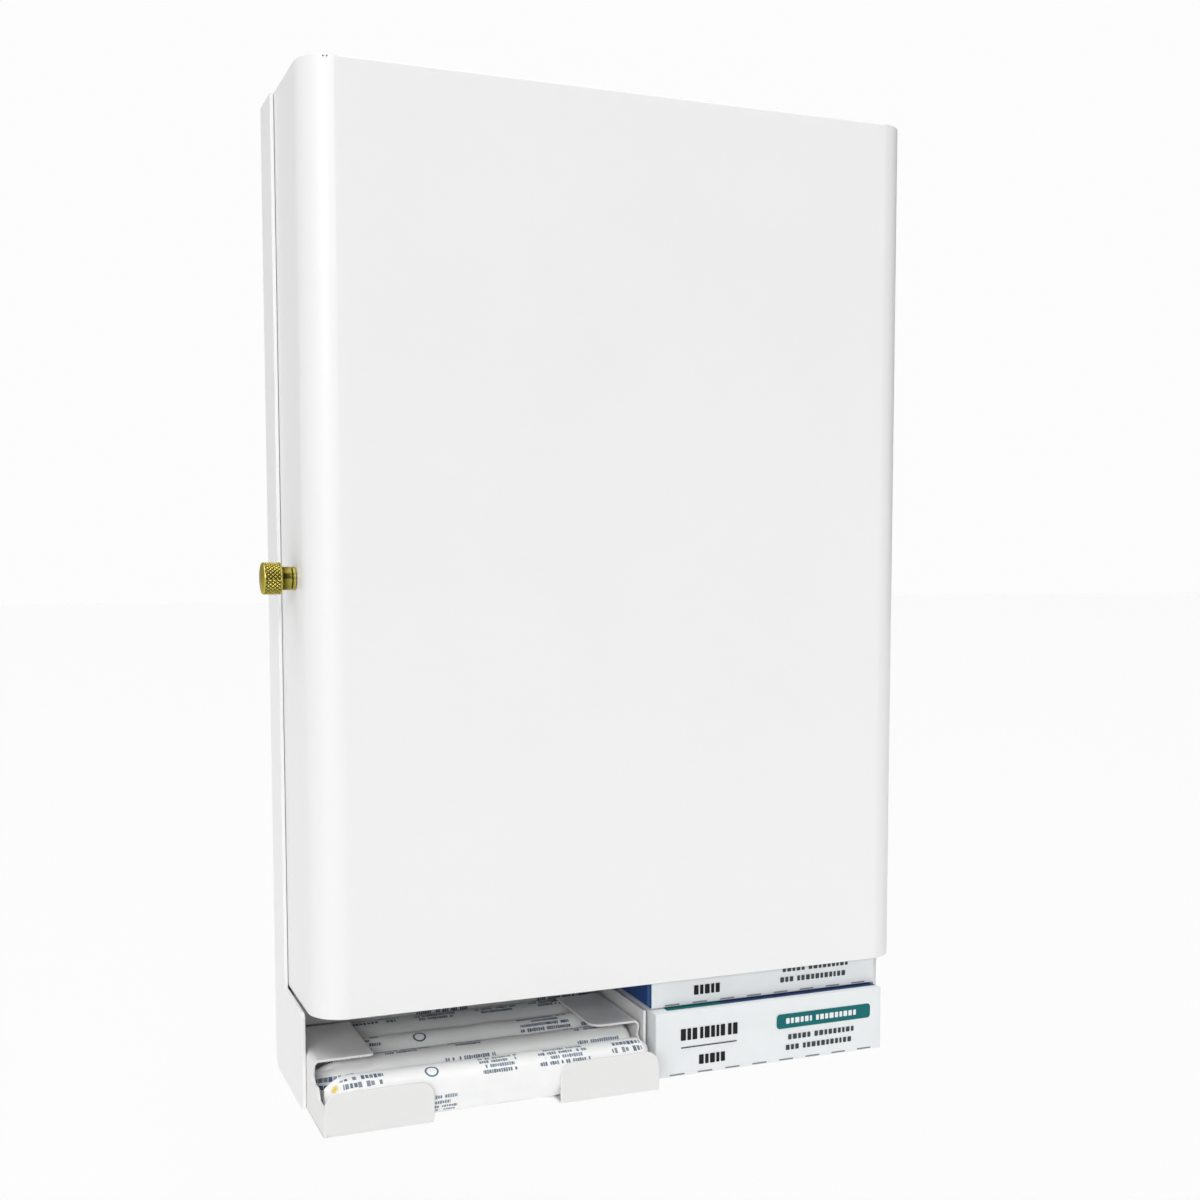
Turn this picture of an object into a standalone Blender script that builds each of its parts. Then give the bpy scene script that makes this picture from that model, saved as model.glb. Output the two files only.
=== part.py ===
"""A wall-hung dispenser for wrapped tampons and boxed pads, in folded sheet metal.

Metres, +Z up. The wall is the plane Y = 0, the front faces -Y, and the origin is the middle of the
back plate's rear face. Run with: blender --background --python part.py
"""

import math

import bmesh
import bpy
from mathutils import Matrix, Vector

# Stock
TAMPON_RADIUS = 0.00835
TAMPON_LENGTH = 0.116
TAMPON_CRIMP = 0.011
TAMPONS_IN_ROW = 4
TAMPONS_IN_COLUMN = 10
TAMPON_GAP = 0.0003
BOX_WIDTH = 0.096
BOX_HEIGHT = 0.0242
BOX_DEPTH = 0.064
BOX_EDGE = 0.0008
BOX_PROJECTION = 0.004
BOX_SETBACK = 0.0013
BOX_REAR_ROOM = 0.0058
BOX_SHIFT = 0.0007
BOXES = 7

# Cabinet and cover
COVER_HEIGHT = 0.320
COVER_LAP = 0.005
SHEET = 0.0009
CORNER_RADIUS = 0.0125
TOP_BEND = 0.002
RELIEF_RADIUS = 0.0008
NEST_GAP = 0.0006
FLANGE_DEPTH = 0.022
LOWER_FLANGE_REACH = 0.0335
STEP_DROP = 0.0008
STEP_LEAN = 0.0004
FLANGE_TOP_DROP = 0.0004
FLANGE_CORNER = 0.008
FLANGE_EASE = 0.003
TOP_PANEL_GAP = 0.0004
KEYHOLE_HEAD = 0.0045
KEYHOLE_SLOT = 0.0024
KEYHOLE_TRAVEL = 0.009
MOUNT_INSET = 0.040

# Piano hinge
HINGE_LEAF = 0.0008
HINGE_BORE = 0.0008
HINGE_INSET = 0.004
HINGE_ROOM = 0.0083
HINGE_RELIEF = 0.008
HINGE_KNUCKLES = 16
KNUCKLE_GAP = 0.0004
HINGE_GAP = 0.0003
PIN_CLEARANCE = 0.00012
COVER_LEAF_WIDTH = 0.0125
CABINET_LEAF_WIDTH = 0.0125
RIVET_SHANK = 0.0012
RIVET_HOLE = 0.0015
RIVET_HEAD = 0.0024
RIVET_HEAD_HEIGHT = 0.0009
RIVET_TAIL = 0.0019
RIVET_INSET = 0.005
SEAT_GAP = 0.0003

# Tray
TRAY_PROJECTION = 0.0137
TRAY_END_PLAY = 0.0016
TRAY_SIDE_GAP = 0.0005
TRAY_SLOPE = math.radians(2.0)
TRAY_BEND = 0.0016
LIP_HEIGHT = 0.0150
LIP_CORNER = 0.005
LIP_FOOT = 0.0025
FINGER_GAP = 0.0456
FINGER_CUT_DEPTH = 0.0100
FINGER_FILLET = 0.004
WING_DROP = 0.0144
WING_WIDTH = 0.020
WING_BEND = 0.0018
WING_CORNER = 0.005
WING_SETBACK = 0.0002
WING_END_GAP = 0.001
WING_CLEARANCE = 0.0007
CHEEK_HEIGHT = 0.0104
CHEEK_NOSE_HEIGHT = 0.0139
CHEEK_NOTCH_HEIGHT = 0.0154
CHEEK_START = 0.0092
CHEEK_CREST = 0.0117
CHEEK_HOLLOW = 0.0172
CHEEK_NOTCH = 0.0197
REAR_LIP_HEIGHT = 0.008

# Guides
GUIDE_BEND = 0.0012
GUIDE_RETURN = 0.020
GUIDE_FOOT = 0.0115
COLUMN_STAGGER = 0.0073
GUIDE_TOP_DROP = 0.034
GUIDE_STAND = 0.0003
TAMPON_PLAY = 0.0004
COVER_PLAY = 0.0005
PAD_PLAY = 0.0011

# Pad shelf
SHELF_SETBACK = 0.003
MOUTH_ROOM = 0.0105
BOTTOM_LAP = 0.0001
SHELF_CURB_GAP = 0.0008
SHELF_SIDE_HEIGHT = 0.016

# Latch
LATCH_HEIGHT = 0.1497
LATCH_DEPTH = 0.0235
KNOB_RADIUS = 0.0055
KNOB_LENGTH = 0.0066
KNOB_CHAMFER = 0.0006
KNOB_CROWN = 0.0003
NECK_RADIUS = 0.0040
NECK_LENGTH = 0.0046
NECK_GROOVE = 0.0006
SHANK_RADIUS = 0.00195
SHANK_HOLE = 0.0022
SHANK_LENGTH = 0.0110
RING_OUTER = 0.0036
RING_THICKNESS = 0.0008
RING_GROOVE_DEPTH = 0.0005
RING_MOUTH = 0.0026
KEEPER_OFFSET = 0.0044
KEEPER_FRONT = 0.0165
KEEPER_HEIGHT = 0.017
KEEPER_FOOT = 0.0150
KEEPER_BEND = 0.0012
KEEPER_SLOT = 0.0046
KEEPER_LIP = 0.0030
KEEPER_LIP_LENGTH = 0.0090
NUT_WIDTH = 0.0070
NUT_THICKNESS = 0.0030
NUT_CHAMFER = 0.0005

# Every cutter passes its work by this much
OVERRUN = 0.004
BEND_STEPS = 4
CORNER_STEPS = 8
ROUND_STEPS = 12

# Shares and turns
CROWN_SHARES = (0.85, 0.45)
ROLL_TURN = math.radians(295)
SHEET_OVERLAP_SHARE = 0.25
CRIMP_SHARES = (0.35, 0.7, 1.0)
CRIMP_FLAT_SHARE = 0.08
CRIMP_NARROW_SHARE = 0.12
TAMPON_STEPS = 16
BOX_SHIFT_SHARES = (0.0, 1.0, -0.6, 0.4, -1.0, 0.7, -0.3)

# Sizes worked out from those above
TRAY_WIDTH = TAMPON_LENGTH + 2 * SHEET + 2 * TRAY_END_PLAY
CURB_ROOM = SHELF_CURB_GAP + SHEET + PAD_PLAY
PAD_ROOM = CURB_ROOM + BOX_WIDTH + PAD_PLAY + SHEET
COVER_WIDTH = TRAY_WIDTH - NEST_GAP + TRAY_SIDE_GAP + PAD_ROOM + HINGE_ROOM
BODY_DEPTH = SHEET + BOX_SETBACK + BOX_DEPTH + BOX_REAR_ROOM
COVER_DEPTH = BODY_DEPTH - FLANGE_DEPTH + COVER_LAP
COLUMN_DEPTH = 2 * TAMPON_RADIUS + COLUMN_STAGGER
PITCH = 2 * TAMPON_RADIUS + TAMPON_GAP
SHELF_DROP = BOX_HEIGHT + SHEET + SEAT_GAP + MOUTH_ROOM
HINGE_LENGTH = COVER_HEIGHT - 2 * HINGE_INSET
SHEET_OVERLAP = SHEET * SHEET_OVERLAP_SHARE

# Places along Y
FRONT = -BODY_DEPTH
COVER_REAR = FRONT + COVER_DEPTH
PLATE_FRONT = -SHEET
BACK_SEAT = PLATE_FRONT - SEAT_GAP
LIP_FRONT = FRONT - TRAY_PROJECTION
ROW_START = LIP_FRONT + SHEET + TAMPON_GAP + TAMPON_RADIUS
WING_START = ROW_START + TAMPON_RADIUS + TAMPON_GAP + WING_SETBACK
GUIDE_FRONT_Y = BACK_SEAT - SHEET - COLUMN_DEPTH - SHEET
WING_END = GUIDE_FRONT_Y - WING_END_GAP
COLUMN_NEAR = GUIDE_FRONT_Y + SHEET + TAMPON_GAP + TAMPON_RADIUS
COLUMN_FAR = BACK_SEAT - SHEET - TAMPON_GAP - TAMPON_RADIUS

# Heights: the row of tampons sets how far the tray hangs below the cover
ROW_FOOT = SHEET + (ROW_START - FRONT) * math.tan(TRAY_SLOPE) + TAMPON_GAP / 2
ROW_MIDDLE = ROW_FOOT + TAMPON_RADIUS / math.cos(TRAY_SLOPE)
ROW_TOP = ROW_MIDDLE + (TAMPONS_IN_ROW - 1) * PITCH * math.sin(TRAY_SLOPE) + TAMPON_RADIUS
TRAY_DROP = WING_DROP + SHEET + WING_CLEARANCE + ROW_TOP
CABINET_HEIGHT = COVER_HEIGHT + max(SHELF_DROP, TRAY_DROP) + BOTTOM_LAP

# Places worked out from the sizes above
LEFT = -COVER_WIDTH / 2
RIGHT = COVER_WIDTH / 2
TOP = CABINET_HEIGHT / 2
BOTTOM = -CABINET_HEIGHT / 2
MOUTH = TOP - COVER_HEIGHT
FLANGE_X = LEFT - NEST_GAP - SHEET / 2
FLANGE_FRONT = -FLANGE_DEPTH
LOWER_FLANGE_FRONT = FLANGE_FRONT - LOWER_FLANGE_REACH
KNUCKLE_MID = HINGE_BORE + HINGE_LEAF / 2
KNUCKLE_OUTER = HINGE_BORE + HINGE_LEAF
LEAF_X = RIGHT - SHEET - SEAT_GAP - HINGE_LEAF / 2
HINGE_X = LEAF_X + KNUCKLE_MID
HINGE_Y = FLANGE_FRONT - HINGE_GAP - KNUCKLE_OUTER
HINGE_TOP = TOP - (COVER_HEIGHT - HINGE_LENGTH) / 2
HINGE_BOTTOM = HINGE_TOP - HINGE_LENGTH
COVER_WALL_REAR = HINGE_Y - KNUCKLE_OUTER - HINGE_GAP
LATCH_Y = FRONT + LATCH_DEPTH
LATCH_Z = MOUTH + LATCH_HEIGHT
TRAY_LEFT = LEFT - NEST_GAP + TRAY_SIDE_GAP
TRAY_RIGHT = TRAY_LEFT + TRAY_WIDTH
TRAY_MID = (TRAY_LEFT + TRAY_RIGHT) / 2
TRAY_BOTTOM = MOUTH - TRAY_DROP
GUIDE_LEFT_INNER = LEFT + SHEET + COVER_PLAY + SHEET
TAMPON_X = GUIDE_LEFT_INNER + TAMPON_PLAY + TAMPON_LENGTH / 2
GUIDE_RIGHT_INNER = TAMPON_X + TAMPON_LENGTH / 2 + TAMPON_PLAY
GUIDE_TOP = TOP - GUIDE_TOP_DROP
GUIDE_BOTTOM = MOUTH - WING_DROP + GUIDE_STAND
CURB_X = TRAY_RIGHT + SHELF_CURB_GAP + SHEET / 2
SHELF_BOTTOM = MOUTH - SHELF_DROP
PAD_LEFT = CURB_X + SHEET / 2 + PAD_PLAY
PAD_RIGHT = PAD_LEFT + BOX_WIDTH
PAD_X = (PAD_LEFT + PAD_RIGHT) / 2

# Finishes: colour, roughness and metallic
WHITE_COAT = ((0.86, 0.86, 0.85, 1.0), 0.35, 0.0)
ZINC = ((0.62, 0.62, 0.61, 1.0), 0.35, 0.9)
BRASS = ((0.72, 0.55, 0.22, 1.0), 0.25, 1.0)
PAPER = ((0.93, 0.93, 0.92, 1.0), 0.7, 0.0)
CARD = ((0.05, 0.09, 0.22, 1.0), 0.5, 0.0)

AXIS_TURNS = {"X": (math.pi / 2, 0, math.pi / 2), "Y": (math.pi / 2, 0, 0), "Z": (0, 0, 0)}


def clear_scene():
    for old in list(bpy.data.objects):
        bpy.data.objects.remove(old, do_unlink=True)


def collection(name, hidden=False):
    found = bpy.data.collections.new(name)
    bpy.context.scene.collection.children.link(found)
    found.hide_render = hidden
    return found


def material(name, finish):
    colour, roughness, metallic = finish
    made = bpy.data.materials.new(name)
    made.use_nodes = True
    shader = made.node_tree.nodes["Principled BSDF"]
    shader.inputs["Base Color"].default_value = colour
    shader.inputs["Roughness"].default_value = roughness
    shader.inputs["Metallic"].default_value = metallic
    made.diffuse_color = colour
    return made


def add_part(name, mesh, finish):
    obj = bpy.data.objects.new(name, mesh)
    PARTS.objects.link(obj)
    obj.data.materials.append(material(name + "_finish", finish))
    return obj


def add_cutter(name, mesh):
    obj = bpy.data.objects.new(name, mesh)
    CUTTERS.objects.link(obj)
    obj.hide_render = True
    obj.display_type = "WIRE"
    return obj


def mesh_of(bm, name):
    bmesh.ops.recalc_face_normals(bm, faces=bm.faces)
    mesh = bpy.data.meshes.new(name)
    bm.to_mesh(mesh)
    bm.free()
    return mesh


def rounded(points, radius, steps=BEND_STEPS, closed=False):
    """The same outline with an arc at each corner; a corner can bring its own radius as a third value."""
    result = []
    count = len(points)
    for i, point in enumerate(points):
        corner = Vector(point[:2])
        size = point[2] if len(point) > 2 else radius
        if size == 0 or (not closed and i in (0, count - 1)):
            result.append(corner)
            continue
        to_last = (Vector(points[i - 1][:2]) - corner).normalized()
        to_next = (Vector(points[(i + 1) % count][:2]) - corner).normalized()
        half = to_last.angle(to_next) / 2
        centre = corner + (to_last + to_next).normalized() * size / math.sin(half)
        start = corner + to_last * size / math.tan(half) - centre
        turn = start.angle_signed(corner + to_next * size / math.tan(half) - centre)
        for step in range(steps + 1):
            spun = start.copy()
            spun.rotate(Matrix.Rotation(-turn * step / steps, 2))
            result.append(centre + spun)
    return result


def place(obj, axis, start):
    """Stands a shape that was drawn in its own XY plane across the named world axis."""
    obj.rotation_euler = AXIS_TURNS[axis]
    obj.location = {"X": (start, 0, 0), "Y": (0, start, 0), "Z": (0, 0, start)}[axis]
    return obj


def flat_mesh(name, outlines, thickness):
    """Closed outlines as a filled 2D curve, extruded from zero to the thickness."""
    curve = bpy.data.curves.new(name, "CURVE")
    curve.dimensions = "2D"
    curve.fill_mode = "BOTH"
    curve.extrude = thickness / 2
    for outline in outlines:
        spline = curve.splines.new("POLY")
        spline.points.add(len(outline) - 1)
        for point, (x, y) in zip(spline.points, outline):
            point.co = (x, y, 0, 1)
        spline.use_cyclic_u = True
    helper = bpy.data.objects.new(name, curve)
    mesh = bpy.data.meshes.new_from_object(helper)
    bpy.data.objects.remove(helper)
    bm = bmesh.new()
    bm.from_mesh(mesh)
    bmesh.ops.remove_doubles(bm, verts=bm.verts, dist=SHEET / 1000)
    bmesh.ops.translate(bm, verts=bm.verts, vec=(0, 0, thickness / 2))
    return mesh_of(bm, name)


def strip_mesh(name, profile, length):
    """An open profile drawn out along +Z as a surface, for Solidify to give it its sheet."""
    bm = bmesh.new()
    verts = [bm.verts.new((x, y, 0)) for x, y in profile]
    edges = [bm.edges.new(pair) for pair in zip(verts, verts[1:])]
    drawn = bmesh.ops.extrude_edge_only(bm, edges=edges)["geom"]
    moved = [item for item in drawn if isinstance(item, bmesh.types.BMVert)]
    bmesh.ops.translate(bm, verts=moved, vec=(0, 0, length))
    return mesh_of(bm, name)


def round_edges(bm, edges, radius, steps):
    bmesh.ops.bevel(bm, geom=edges, offset=radius, segments=steps, profile=0.5, affect="EDGES")


def box_mesh(name, low, high, edge=0.0):
    low, high = Vector(low), Vector(high)
    bm = bmesh.new()
    bmesh.ops.create_cube(bm, size=1)
    bmesh.ops.scale(bm, vec=high - low, verts=bm.verts)
    bmesh.ops.translate(bm, vec=(low + high) / 2, verts=bm.verts)
    if edge:
        round_edges(bm, bm.edges, edge, 1)
    return mesh_of(bm, name)


def rod_mesh(name, centre, axis, radius, length, steps=ROUND_STEPS):
    """A cylinder about its centre, along the named axis."""
    bm = bmesh.new()
    bmesh.ops.create_cone(
        bm, cap_ends=True, segments=steps, radius1=radius, radius2=radius, depth=length
    )
    turn = Matrix.Rotation(math.pi / 2, 4, {"X": "Y", "Y": "X", "Z": "Z"}[axis])
    if axis != "Z":
        bmesh.ops.transform(bm, matrix=turn, verts=bm.verts)
    bmesh.ops.translate(bm, vec=centre, verts=bm.verts)
    return mesh_of(bm, name)


def joined_mesh(name, meshes):
    """Several separate solids as one mesh, for one Boolean."""
    bm = bmesh.new()
    for mesh in meshes:
        bm.from_mesh(mesh)
    return mesh_of(bm, name)


def solidify(obj, thickness):
    shell = obj.modifiers.new("sheet", "SOLIDIFY")
    shell.thickness = thickness
    shell.offset = 0
    shell.use_even_offset = True
    return obj


def boolean(obj, tool, operation):
    made = obj.modifiers.new(tool.name, "BOOLEAN")
    made.operation = operation
    made.solver = "EXACT"
    made.object = tool
    return obj


def cut(obj, mesh):
    return boolean(obj, add_cutter(mesh.name, mesh), "DIFFERENCE")


def join(obj, mesh):
    return boolean(obj, add_cutter(mesh.name, mesh), "UNION")


def pivot(name, location):
    """An empty on a joint's axis, for the pieces that turn or slide with it."""
    empty = bpy.data.objects.new(name, None)
    empty.location = location
    PARTS.objects.link(empty)
    return empty


def carry(parent, obj):
    obj.parent = parent
    obj.matrix_parent_inverse = Matrix.Translation(parent.location).inverted()
    return obj


def flange_outline():
    """A side flange seen from the right: deep below the cover, shallow beside it."""
    step = MOUTH - STEP_DROP
    return rounded(
        [
            (PLATE_FRONT / 2, BOTTOM, FLANGE_CORNER),
            (LOWER_FLANGE_FRONT, BOTTOM, FLANGE_EASE),
            (LOWER_FLANGE_FRONT, step - STEP_LEAN, TOP_BEND),
            (FLANGE_FRONT, step, 0),
            (FLANGE_FRONT, TOP - FLANGE_TOP_DROP, 0),
            (PLATE_FRONT / 2, TOP - FLANGE_TOP_DROP, FLANGE_EASE),
        ],
        0,
        closed=True,
    )


def keyhole_outline(x, z):
    """A round entry with a slot above it, where the screw's neck comes to rest."""
    points = []
    for step in range(ROUND_STEPS + 1):
        angle = math.pi / 2 + math.asin(KEYHOLE_SLOT / KEYHOLE_HEAD)
        angle += (2 * math.pi - 2 * math.asin(KEYHOLE_SLOT / KEYHOLE_HEAD)) * step / ROUND_STEPS
        points.append((x + KEYHOLE_HEAD * math.cos(angle), z + KEYHOLE_HEAD * math.sin(angle)))
    for step in range(ROUND_STEPS + 1):
        angle = math.pi * step / ROUND_STEPS
        slot_x = x + KEYHOLE_SLOT * math.cos(angle)
        points.append((slot_x, z + KEYHOLE_TRAVEL + KEYHOLE_SLOT * math.sin(angle)))
    return points


def make_back_pan():
    """Back plate, two stepped side flanges and a top flange, holed for four wall screws."""
    pan = add_part("back_pan", flat_mesh("left_flange", [flange_outline()], SHEET), WHITE_COAT)
    place(pan, "X", FLANGE_X - SHEET / 2)
    right_flange = flat_mesh("right_flange", [flange_outline()], SHEET)
    place(add_cutter("right_flange", right_flange), "X", RIGHT - SHEET)
    low = (FLANGE_X, PLATE_FRONT, BOTTOM)
    high = (RIGHT - SHEET / 2, 0, TOP - FLANGE_TOP_DROP - SHEET / 2)
    join(pan, box_mesh("back_plate", low, high))
    boolean(pan, bpy.data.objects["right_flange"], "UNION")
    top = TOP - SHEET - TOP_PANEL_GAP
    low = (LEFT + SHEET + COVER_PLAY, FLANGE_FRONT + SHEET, top - SHEET)
    high = (RIGHT - SHEET / 2, PLATE_FRONT / 2, top)
    join(pan, box_mesh("top_flange", low, high))
    holes = []
    for x in (TAMPON_X, PAD_X):
        holes.append(keyhole_outline(x, TOP - MOUNT_INSET))
        holes.append(keyhole_outline(x, MOUTH + MOUNT_INSET))
    keyholes = flat_mesh("keyholes", holes, SHEET + 2 * OVERRUN)
    place(add_cutter("keyholes", keyholes), "Y", OVERRUN)
    boolean(pan, bpy.data.objects["keyholes"], "DIFFERENCE")
    cut(pan, rivet_holes("cabinet_rivet_holes", cabinet_rivet_places()))
    return pan


def rivet_heights():
    span = HINGE_LENGTH / HINGE_KNUCKLES
    middle = (HINGE_TOP + HINGE_BOTTOM) / 2
    return (HINGE_BOTTOM + span * 3 / 2, middle, HINGE_TOP - span * 3 / 2)


def cabinet_rivet_places():
    y = HINGE_Y + KNUCKLE_OUTER + CABINET_LEAF_WIDTH - RIVET_INSET
    return [(RIGHT, y, z) for z in rivet_heights()]


def cover_rivet_places():
    y = HINGE_Y - KNUCKLE_OUTER - COVER_LEAF_WIDTH + RIVET_INSET
    return [(RIGHT, y, z) for z in rivet_heights()]


def rivet_holes(name, places):
    rods = [rod_mesh(name, place_, "X", RIVET_HOLE, 2 * OVERRUN) for place_ in places]
    return joined_mesh(name, rods)


def make_rivet(name, place_):
    """A closed rivet: domed head outside the sheet, shank through both, upset tail inside."""
    outside = SEAT_GAP
    inside = -SHEET - SEAT_GAP - HINGE_LEAF - SEAT_GAP
    profile = [
        (inside - RIVET_HEAD_HEIGHT, 0),
        (inside - RIVET_HEAD_HEIGHT, RIVET_TAIL),
        (inside, RIVET_TAIL),
        (inside, RIVET_SHANK),
        (outside, RIVET_SHANK),
        (outside, RIVET_HEAD),
        (outside + RIVET_HEAD_HEIGHT / 2, RIVET_HEAD * CROWN_SHARES[0]),
        (outside + RIVET_HEAD_HEIGHT, RIVET_HEAD * CROWN_SHARES[1]),
        (outside + RIVET_HEAD_HEIGHT, 0),
    ]
    rivet = add_part(name, turned_mesh(name, profile), WHITE_COAT)
    turn_about_x(rivet)
    rivet.location = place_
    return rivet


def turned_mesh(name, profile):
    """Points (along, radius) as a chain in the XZ plane, for a Screw about Z."""
    bm = bmesh.new()
    verts = [bm.verts.new((radius, 0, along)) for along, radius in reversed(profile)]
    for pair in zip(verts, verts[1:]):
        bm.edges.new(pair)
    mesh = bpy.data.meshes.new(name)
    bm.to_mesh(mesh)
    bm.free()
    return mesh


def turn_about_x(obj, steps=ROUND_STEPS):
    """Sweeps a turned profile round and lays its axis along +X."""
    screw = obj.modifiers.new("turned", "SCREW")
    screw.steps = steps
    screw.render_steps = steps
    screw.use_merge_vertices = True
    screw.merge_threshold = SHEET / 100
    obj.rotation_euler = (0, math.pi / 2, 0)
    return obj


def make_front_cover():
    """An open box without back or floor: rounded vertical corners and a soft bend at the top front."""
    inset = SHEET / 2
    low = Vector((LEFT + inset, FRONT + inset, MOUTH))
    high = Vector((RIGHT - inset, COVER_REAR, TOP - inset))
    bm = bmesh.new()
    bm.from_mesh(box_mesh("cover_block", low, high))
    open_faces = [face for face in bm.faces if face.normal.y > 0.5 or face.normal.z < -0.5]
    bmesh.ops.delete(bm, geom=open_faces, context="FACES")
    posts = [edge for edge in bm.edges if is_post(edge, low.y)]
    round_edges(bm, posts, CORNER_RADIUS - inset, CORNER_STEPS)
    brow = [edge for edge in bm.edges if is_brow(edge, low.y, high.z)]
    round_edges(bm, brow, TOP_BEND - inset, BEND_STEPS)
    cover = add_part("front_cover", mesh_of(bm, "front_cover"), WHITE_COAT)
    solidify(cover, SHEET)
    relief = []
    for side in (-1, 1):
        x = side * (RIGHT - CORNER_RADIUS)
        centre = (x, FRONT, TOP - RELIEF_RADIUS)
        relief.append(rod_mesh("bend_relief", centre, "Y", RELIEF_RADIUS, 2 * OVERRUN))
    cut(cover, joined_mesh("bend_relief", relief))
    low = (RIGHT - HINGE_RELIEF, COVER_WALL_REAR, MOUTH - OVERRUN)
    high = (RIGHT + OVERRUN, COVER_REAR + OVERRUN, TOP + OVERRUN)
    cut(cover, box_mesh("hinge_relief", low, high))
    centre = (LEFT, LATCH_Y, LATCH_Z)
    cut(cover, rod_mesh("knob_hole", centre, "X", SHANK_HOLE, 2 * OVERRUN))
    cut(cover, rivet_holes("cover_rivet_holes", cover_rivet_places()))
    return cover


def is_post(edge, front):
    first, last = (vert.co for vert in edge.verts)
    upright = abs(first.x - last.x) < SHEET / 10 and abs(first.y - last.y) < SHEET / 10
    return upright and abs(first.y - front) < SHEET / 10


def is_brow(edge, front, top):
    return all(
        abs(vert.co.y - front) < SHEET / 10 and abs(vert.co.z - top) < SHEET / 10
        for vert in edge.verts
    )


def leaf_profile(side):
    """A leaf that runs up to the pin and rolls round it; side is -1 to the front, 1 to the wall."""
    width = COVER_LEAF_WIDTH if side < 0 else CABINET_LEAF_WIDTH
    points = [(LEAF_X, HINGE_Y + side * (KNUCKLE_OUTER + width))]
    for step in range(ROUND_STEPS):
        angle = math.pi + side * ROLL_TURN * step / (ROUND_STEPS - 1)
        x = HINGE_X + KNUCKLE_MID * math.cos(angle)
        points.append((x, HINGE_Y + KNUCKLE_MID * math.sin(angle)))
    return points


def knuckle_notches(name, side):
    """Boxes that clear the other leaf's knuckles: even spans are the cabinet's, odd ones the cover's."""
    span = HINGE_LENGTH / HINGE_KNUCKLES
    reach = KNUCKLE_OUTER + HINGE_GAP
    boxes = []
    for index in range(HINGE_KNUCKLES):
        if (index % 2 == 0) == (side > 0):
            continue
        low = HINGE_BOTTOM + span * index - KNUCKLE_GAP / 2
        high = HINGE_BOTTOM + span * (index + 1) + KNUCKLE_GAP / 2
        if index == 0:
            low -= OVERRUN
        if index == HINGE_KNUCKLES - 1:
            high += OVERRUN
        corner = (LEAF_X - OVERRUN, HINGE_Y - reach, low)
        far = (HINGE_X + reach + OVERRUN, HINGE_Y + reach, high)
        boxes.append(box_mesh(name, corner, far))
    return joined_mesh(name, boxes)


def make_hinge_leaf(name, side, places):
    leaf = add_part(name, strip_mesh(name, leaf_profile(side), HINGE_LENGTH), ZINC)
    leaf.location.z = HINGE_BOTTOM
    solidify(leaf, HINGE_LEAF)
    cut(leaf, knuckle_notches(name + "_notches", side))
    cut(leaf, rivet_holes(name + "_holes", places))
    return leaf


def make_hinge_pin():
    centre = (HINGE_X, HINGE_Y, (HINGE_TOP + HINGE_BOTTOM) / 2)
    radius = HINGE_BORE - PIN_CLEARANCE
    return add_part(
        "hinge_pin", rod_mesh("hinge_pin", centre, "Z", radius, HINGE_LENGTH), ZINC
    )


def cheek_outline():
    """What is cut from the front of the tray's side walls and wings, seen from the right."""
    over = MOUTH + OVERRUN
    return [
        (LIP_FRONT - OVERRUN, over),
        (LIP_FRONT - OVERRUN, TRAY_BOTTOM + CHEEK_HEIGHT),
        *rounded(
            [
                (LIP_FRONT + CHEEK_START - TRAY_BEND, TRAY_BOTTOM + CHEEK_HEIGHT),
                (LIP_FRONT + CHEEK_START, TRAY_BOTTOM + CHEEK_HEIGHT),
                (LIP_FRONT + CHEEK_CREST, TRAY_BOTTOM + CHEEK_NOSE_HEIGHT),
                (LIP_FRONT + CHEEK_HOLLOW, TRAY_BOTTOM + CHEEK_NOSE_HEIGHT - SHEET / 2),
                (LIP_FRONT + CHEEK_NOTCH, TRAY_BOTTOM + CHEEK_NOTCH_HEIGHT),
                (WING_START, MOUTH - WING_DROP - SHEET - WING_BEND),
            ],
            SHEET,
        ),
        (WING_START, over),
    ]


def corner_mesh(name, x, y, radius, toward_x, toward_y, thickness):
    """The sliver outside a rounded corner; the two signs point away from the piece."""
    outline = [(x + toward_x * OVERRUN, y + toward_y * OVERRUN)]
    outline.append((x + toward_x * OVERRUN, y - toward_y * radius))
    for step in range(BEND_STEPS + 1):
        angle = math.pi / 2 * step / BEND_STEPS
        across = x - toward_x * radius + toward_x * radius * math.cos(angle)
        outline.append((across, y - toward_y * radius + toward_y * radius * math.sin(angle)))
    outline.append((x - toward_x * radius, y + toward_y * OVERRUN))
    return flat_mesh(name, [outline], thickness)


def floor_top(y):
    """Height of the tray's floor under the row, which falls towards the front."""
    rise = (y - FRONT) * math.tan(TRAY_SLOPE)
    return TRAY_BOTTOM + SHEET + rise


def tray_floor_profile():
    """Front lip, floor that climbs to the back, and a short rear lip beside the back plate."""
    front = LIP_FRONT + SHEET / 2
    rear = BACK_SEAT - SHEET / 2
    return rounded(
        [
            (front, TRAY_BOTTOM + LIP_HEIGHT),
            (front, TRAY_BOTTOM + SHEET / 2),
            (FRONT, TRAY_BOTTOM + SHEET / 2, 0),
            (rear, floor_top(rear) - SHEET / 2),
            (rear, floor_top(rear) + REAR_LIP_HEIGHT),
        ],
        TRAY_BEND,
    )


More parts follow.
